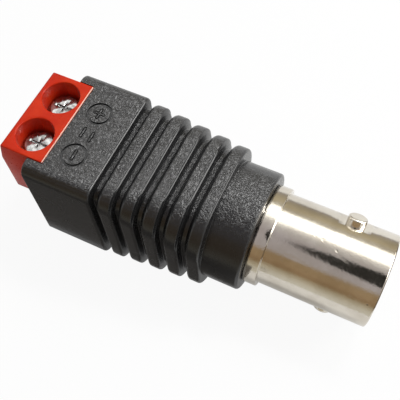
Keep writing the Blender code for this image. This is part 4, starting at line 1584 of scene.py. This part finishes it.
    def add_shade_sheet(self, name: str, reach: Reach, colour: Colour) -> None:
        """Lays a dark sheet on the floor, which only gloss sees: painted shade that darkens the floor in reflections.

        Args:
            name: The sheet's name.
            reach: Where it starts and ends along the jack's axis, and then across it.
            colour: Its colour.
        """
        left, right, near, far = reach
        mesh = sheet(name, [(left, near, 0.0), (right, near, 0.0), (right, far, 0.0), (left, far, 0.0)])
        self.add_card(name, mesh, self.glowing(name, colour, 1.0), self.shade_sheet_height)

    def add_end_card(self) -> None:
        """Hangs the bright card past the jack's mouth that the housing's crest edges mirror."""
        (high_x, high_z), (low_x, low_z) = self.end_card
        near, far = self.end_card_width
        mesh = sheet("end_card", [(high_x, near, high_z), (high_x, far, high_z), (low_x, far, low_z),
                                  (low_x, near, low_z)])
        self.add_card("end_card", mesh, self.glowing("end_card", (1.0, 0.99, 0.97), self.end_card_level), 0.0)

    @staticmethod
    def glowing(name: str, colour: Colour, level: float) -> Material:
        """Returns a new material that only glows."""
        material, graph, _ = new_material(name)
        graph.show(graph.glow(colour, level))
        return material

    def add_lens_card(self) -> None:
        """Adds the dark shape round the lens that the barrel mirrors near its mouth."""
        mesh = sheet("lens_card", [(x, y, 0.0) for x, y in self.lens_shape])
        material, graph, shader = new_material("lens_card")
        graph.join(shader, {"Base Color": (0.02, 0.02, 0.02, 1), "Roughness": 0.8})
        self.add_card("lens_card", mesh, material, self.lens_height)

    @staticmethod
    def add_card(name: str, mesh: Mesh, material: Material, height: float) -> None:
        """Stands a card on the stage that only gloss sees."""
        mesh.materials.append(material)
        card = linked(name, mesh)
        card.location.z = height
        card.visible_camera = card.visible_diffuse = card.visible_shadow = card.visible_transmission = False

    def add_lamp(self, name: str, place: Point3, size: Point2, radiance: float) -> None:
        """Adds a soft rectangular lamp that looks at the adapter.

        Args:
            name: The lamp's name.
            place: Its middle.
            size: Its length along the jack's axis and its width.
            radiance: How bright its face is, where 1 is white.
        """
        light = bpy.data.lights.new(name, "AREA")
        light.shape = "RECTANGLE"
        light.size, light.size_y = size
        light.energy = radiance * math.pi * size[0] * size[1]
        lamp = linked(name, light)
        lamp.location = place
        lamp.rotation_euler = (Vector(place) - Vector(self.lamp_aim)).to_track_quat("Z", "Y").to_euler()
        lamp.visible_camera = False

    def add_camera(self) -> None:
        """Adds the camera at the photograph's place."""
        data = bpy.data.cameras.new("camera")
        data.lens, data.sensor_width = self.lens, 36.0
        data.clip_start, data.clip_end = 0.001, 10.0
        camera = linked("camera", data)
        columns = Matrix((self.right, self.up, self.back)).transposed().to_4x4()
        camera.matrix_world = Matrix.Translation(self.eye) @ columns
        bpy.context.scene.camera = camera


def main() -> None:
    """Builds the adapter's sub-assemblies in turn, then the studio."""
    logging.basicConfig(level=logging.INFO, format="%(message)s")
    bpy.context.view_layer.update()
    bpy.context.scene.view_settings.view_transform = "Standard"
    bench = Bench()
    Housing().build(bench)
    TerminalBlock().build(bench)
    for pole in Pole:
        Clamp(pole).build(bench)
    Jack().build(bench)
    LinkLead(Pole.PLUS, RED_SLEEVE, (0.0147, 0.0, 0.0)).build(bench)
    LinkLead(Pole.MINUS, BLACK_SLEEVE, (0.0133, -0.0037, 0.0)).build(bench)
    Studio().build()


if __name__ == "__main__":
    main()
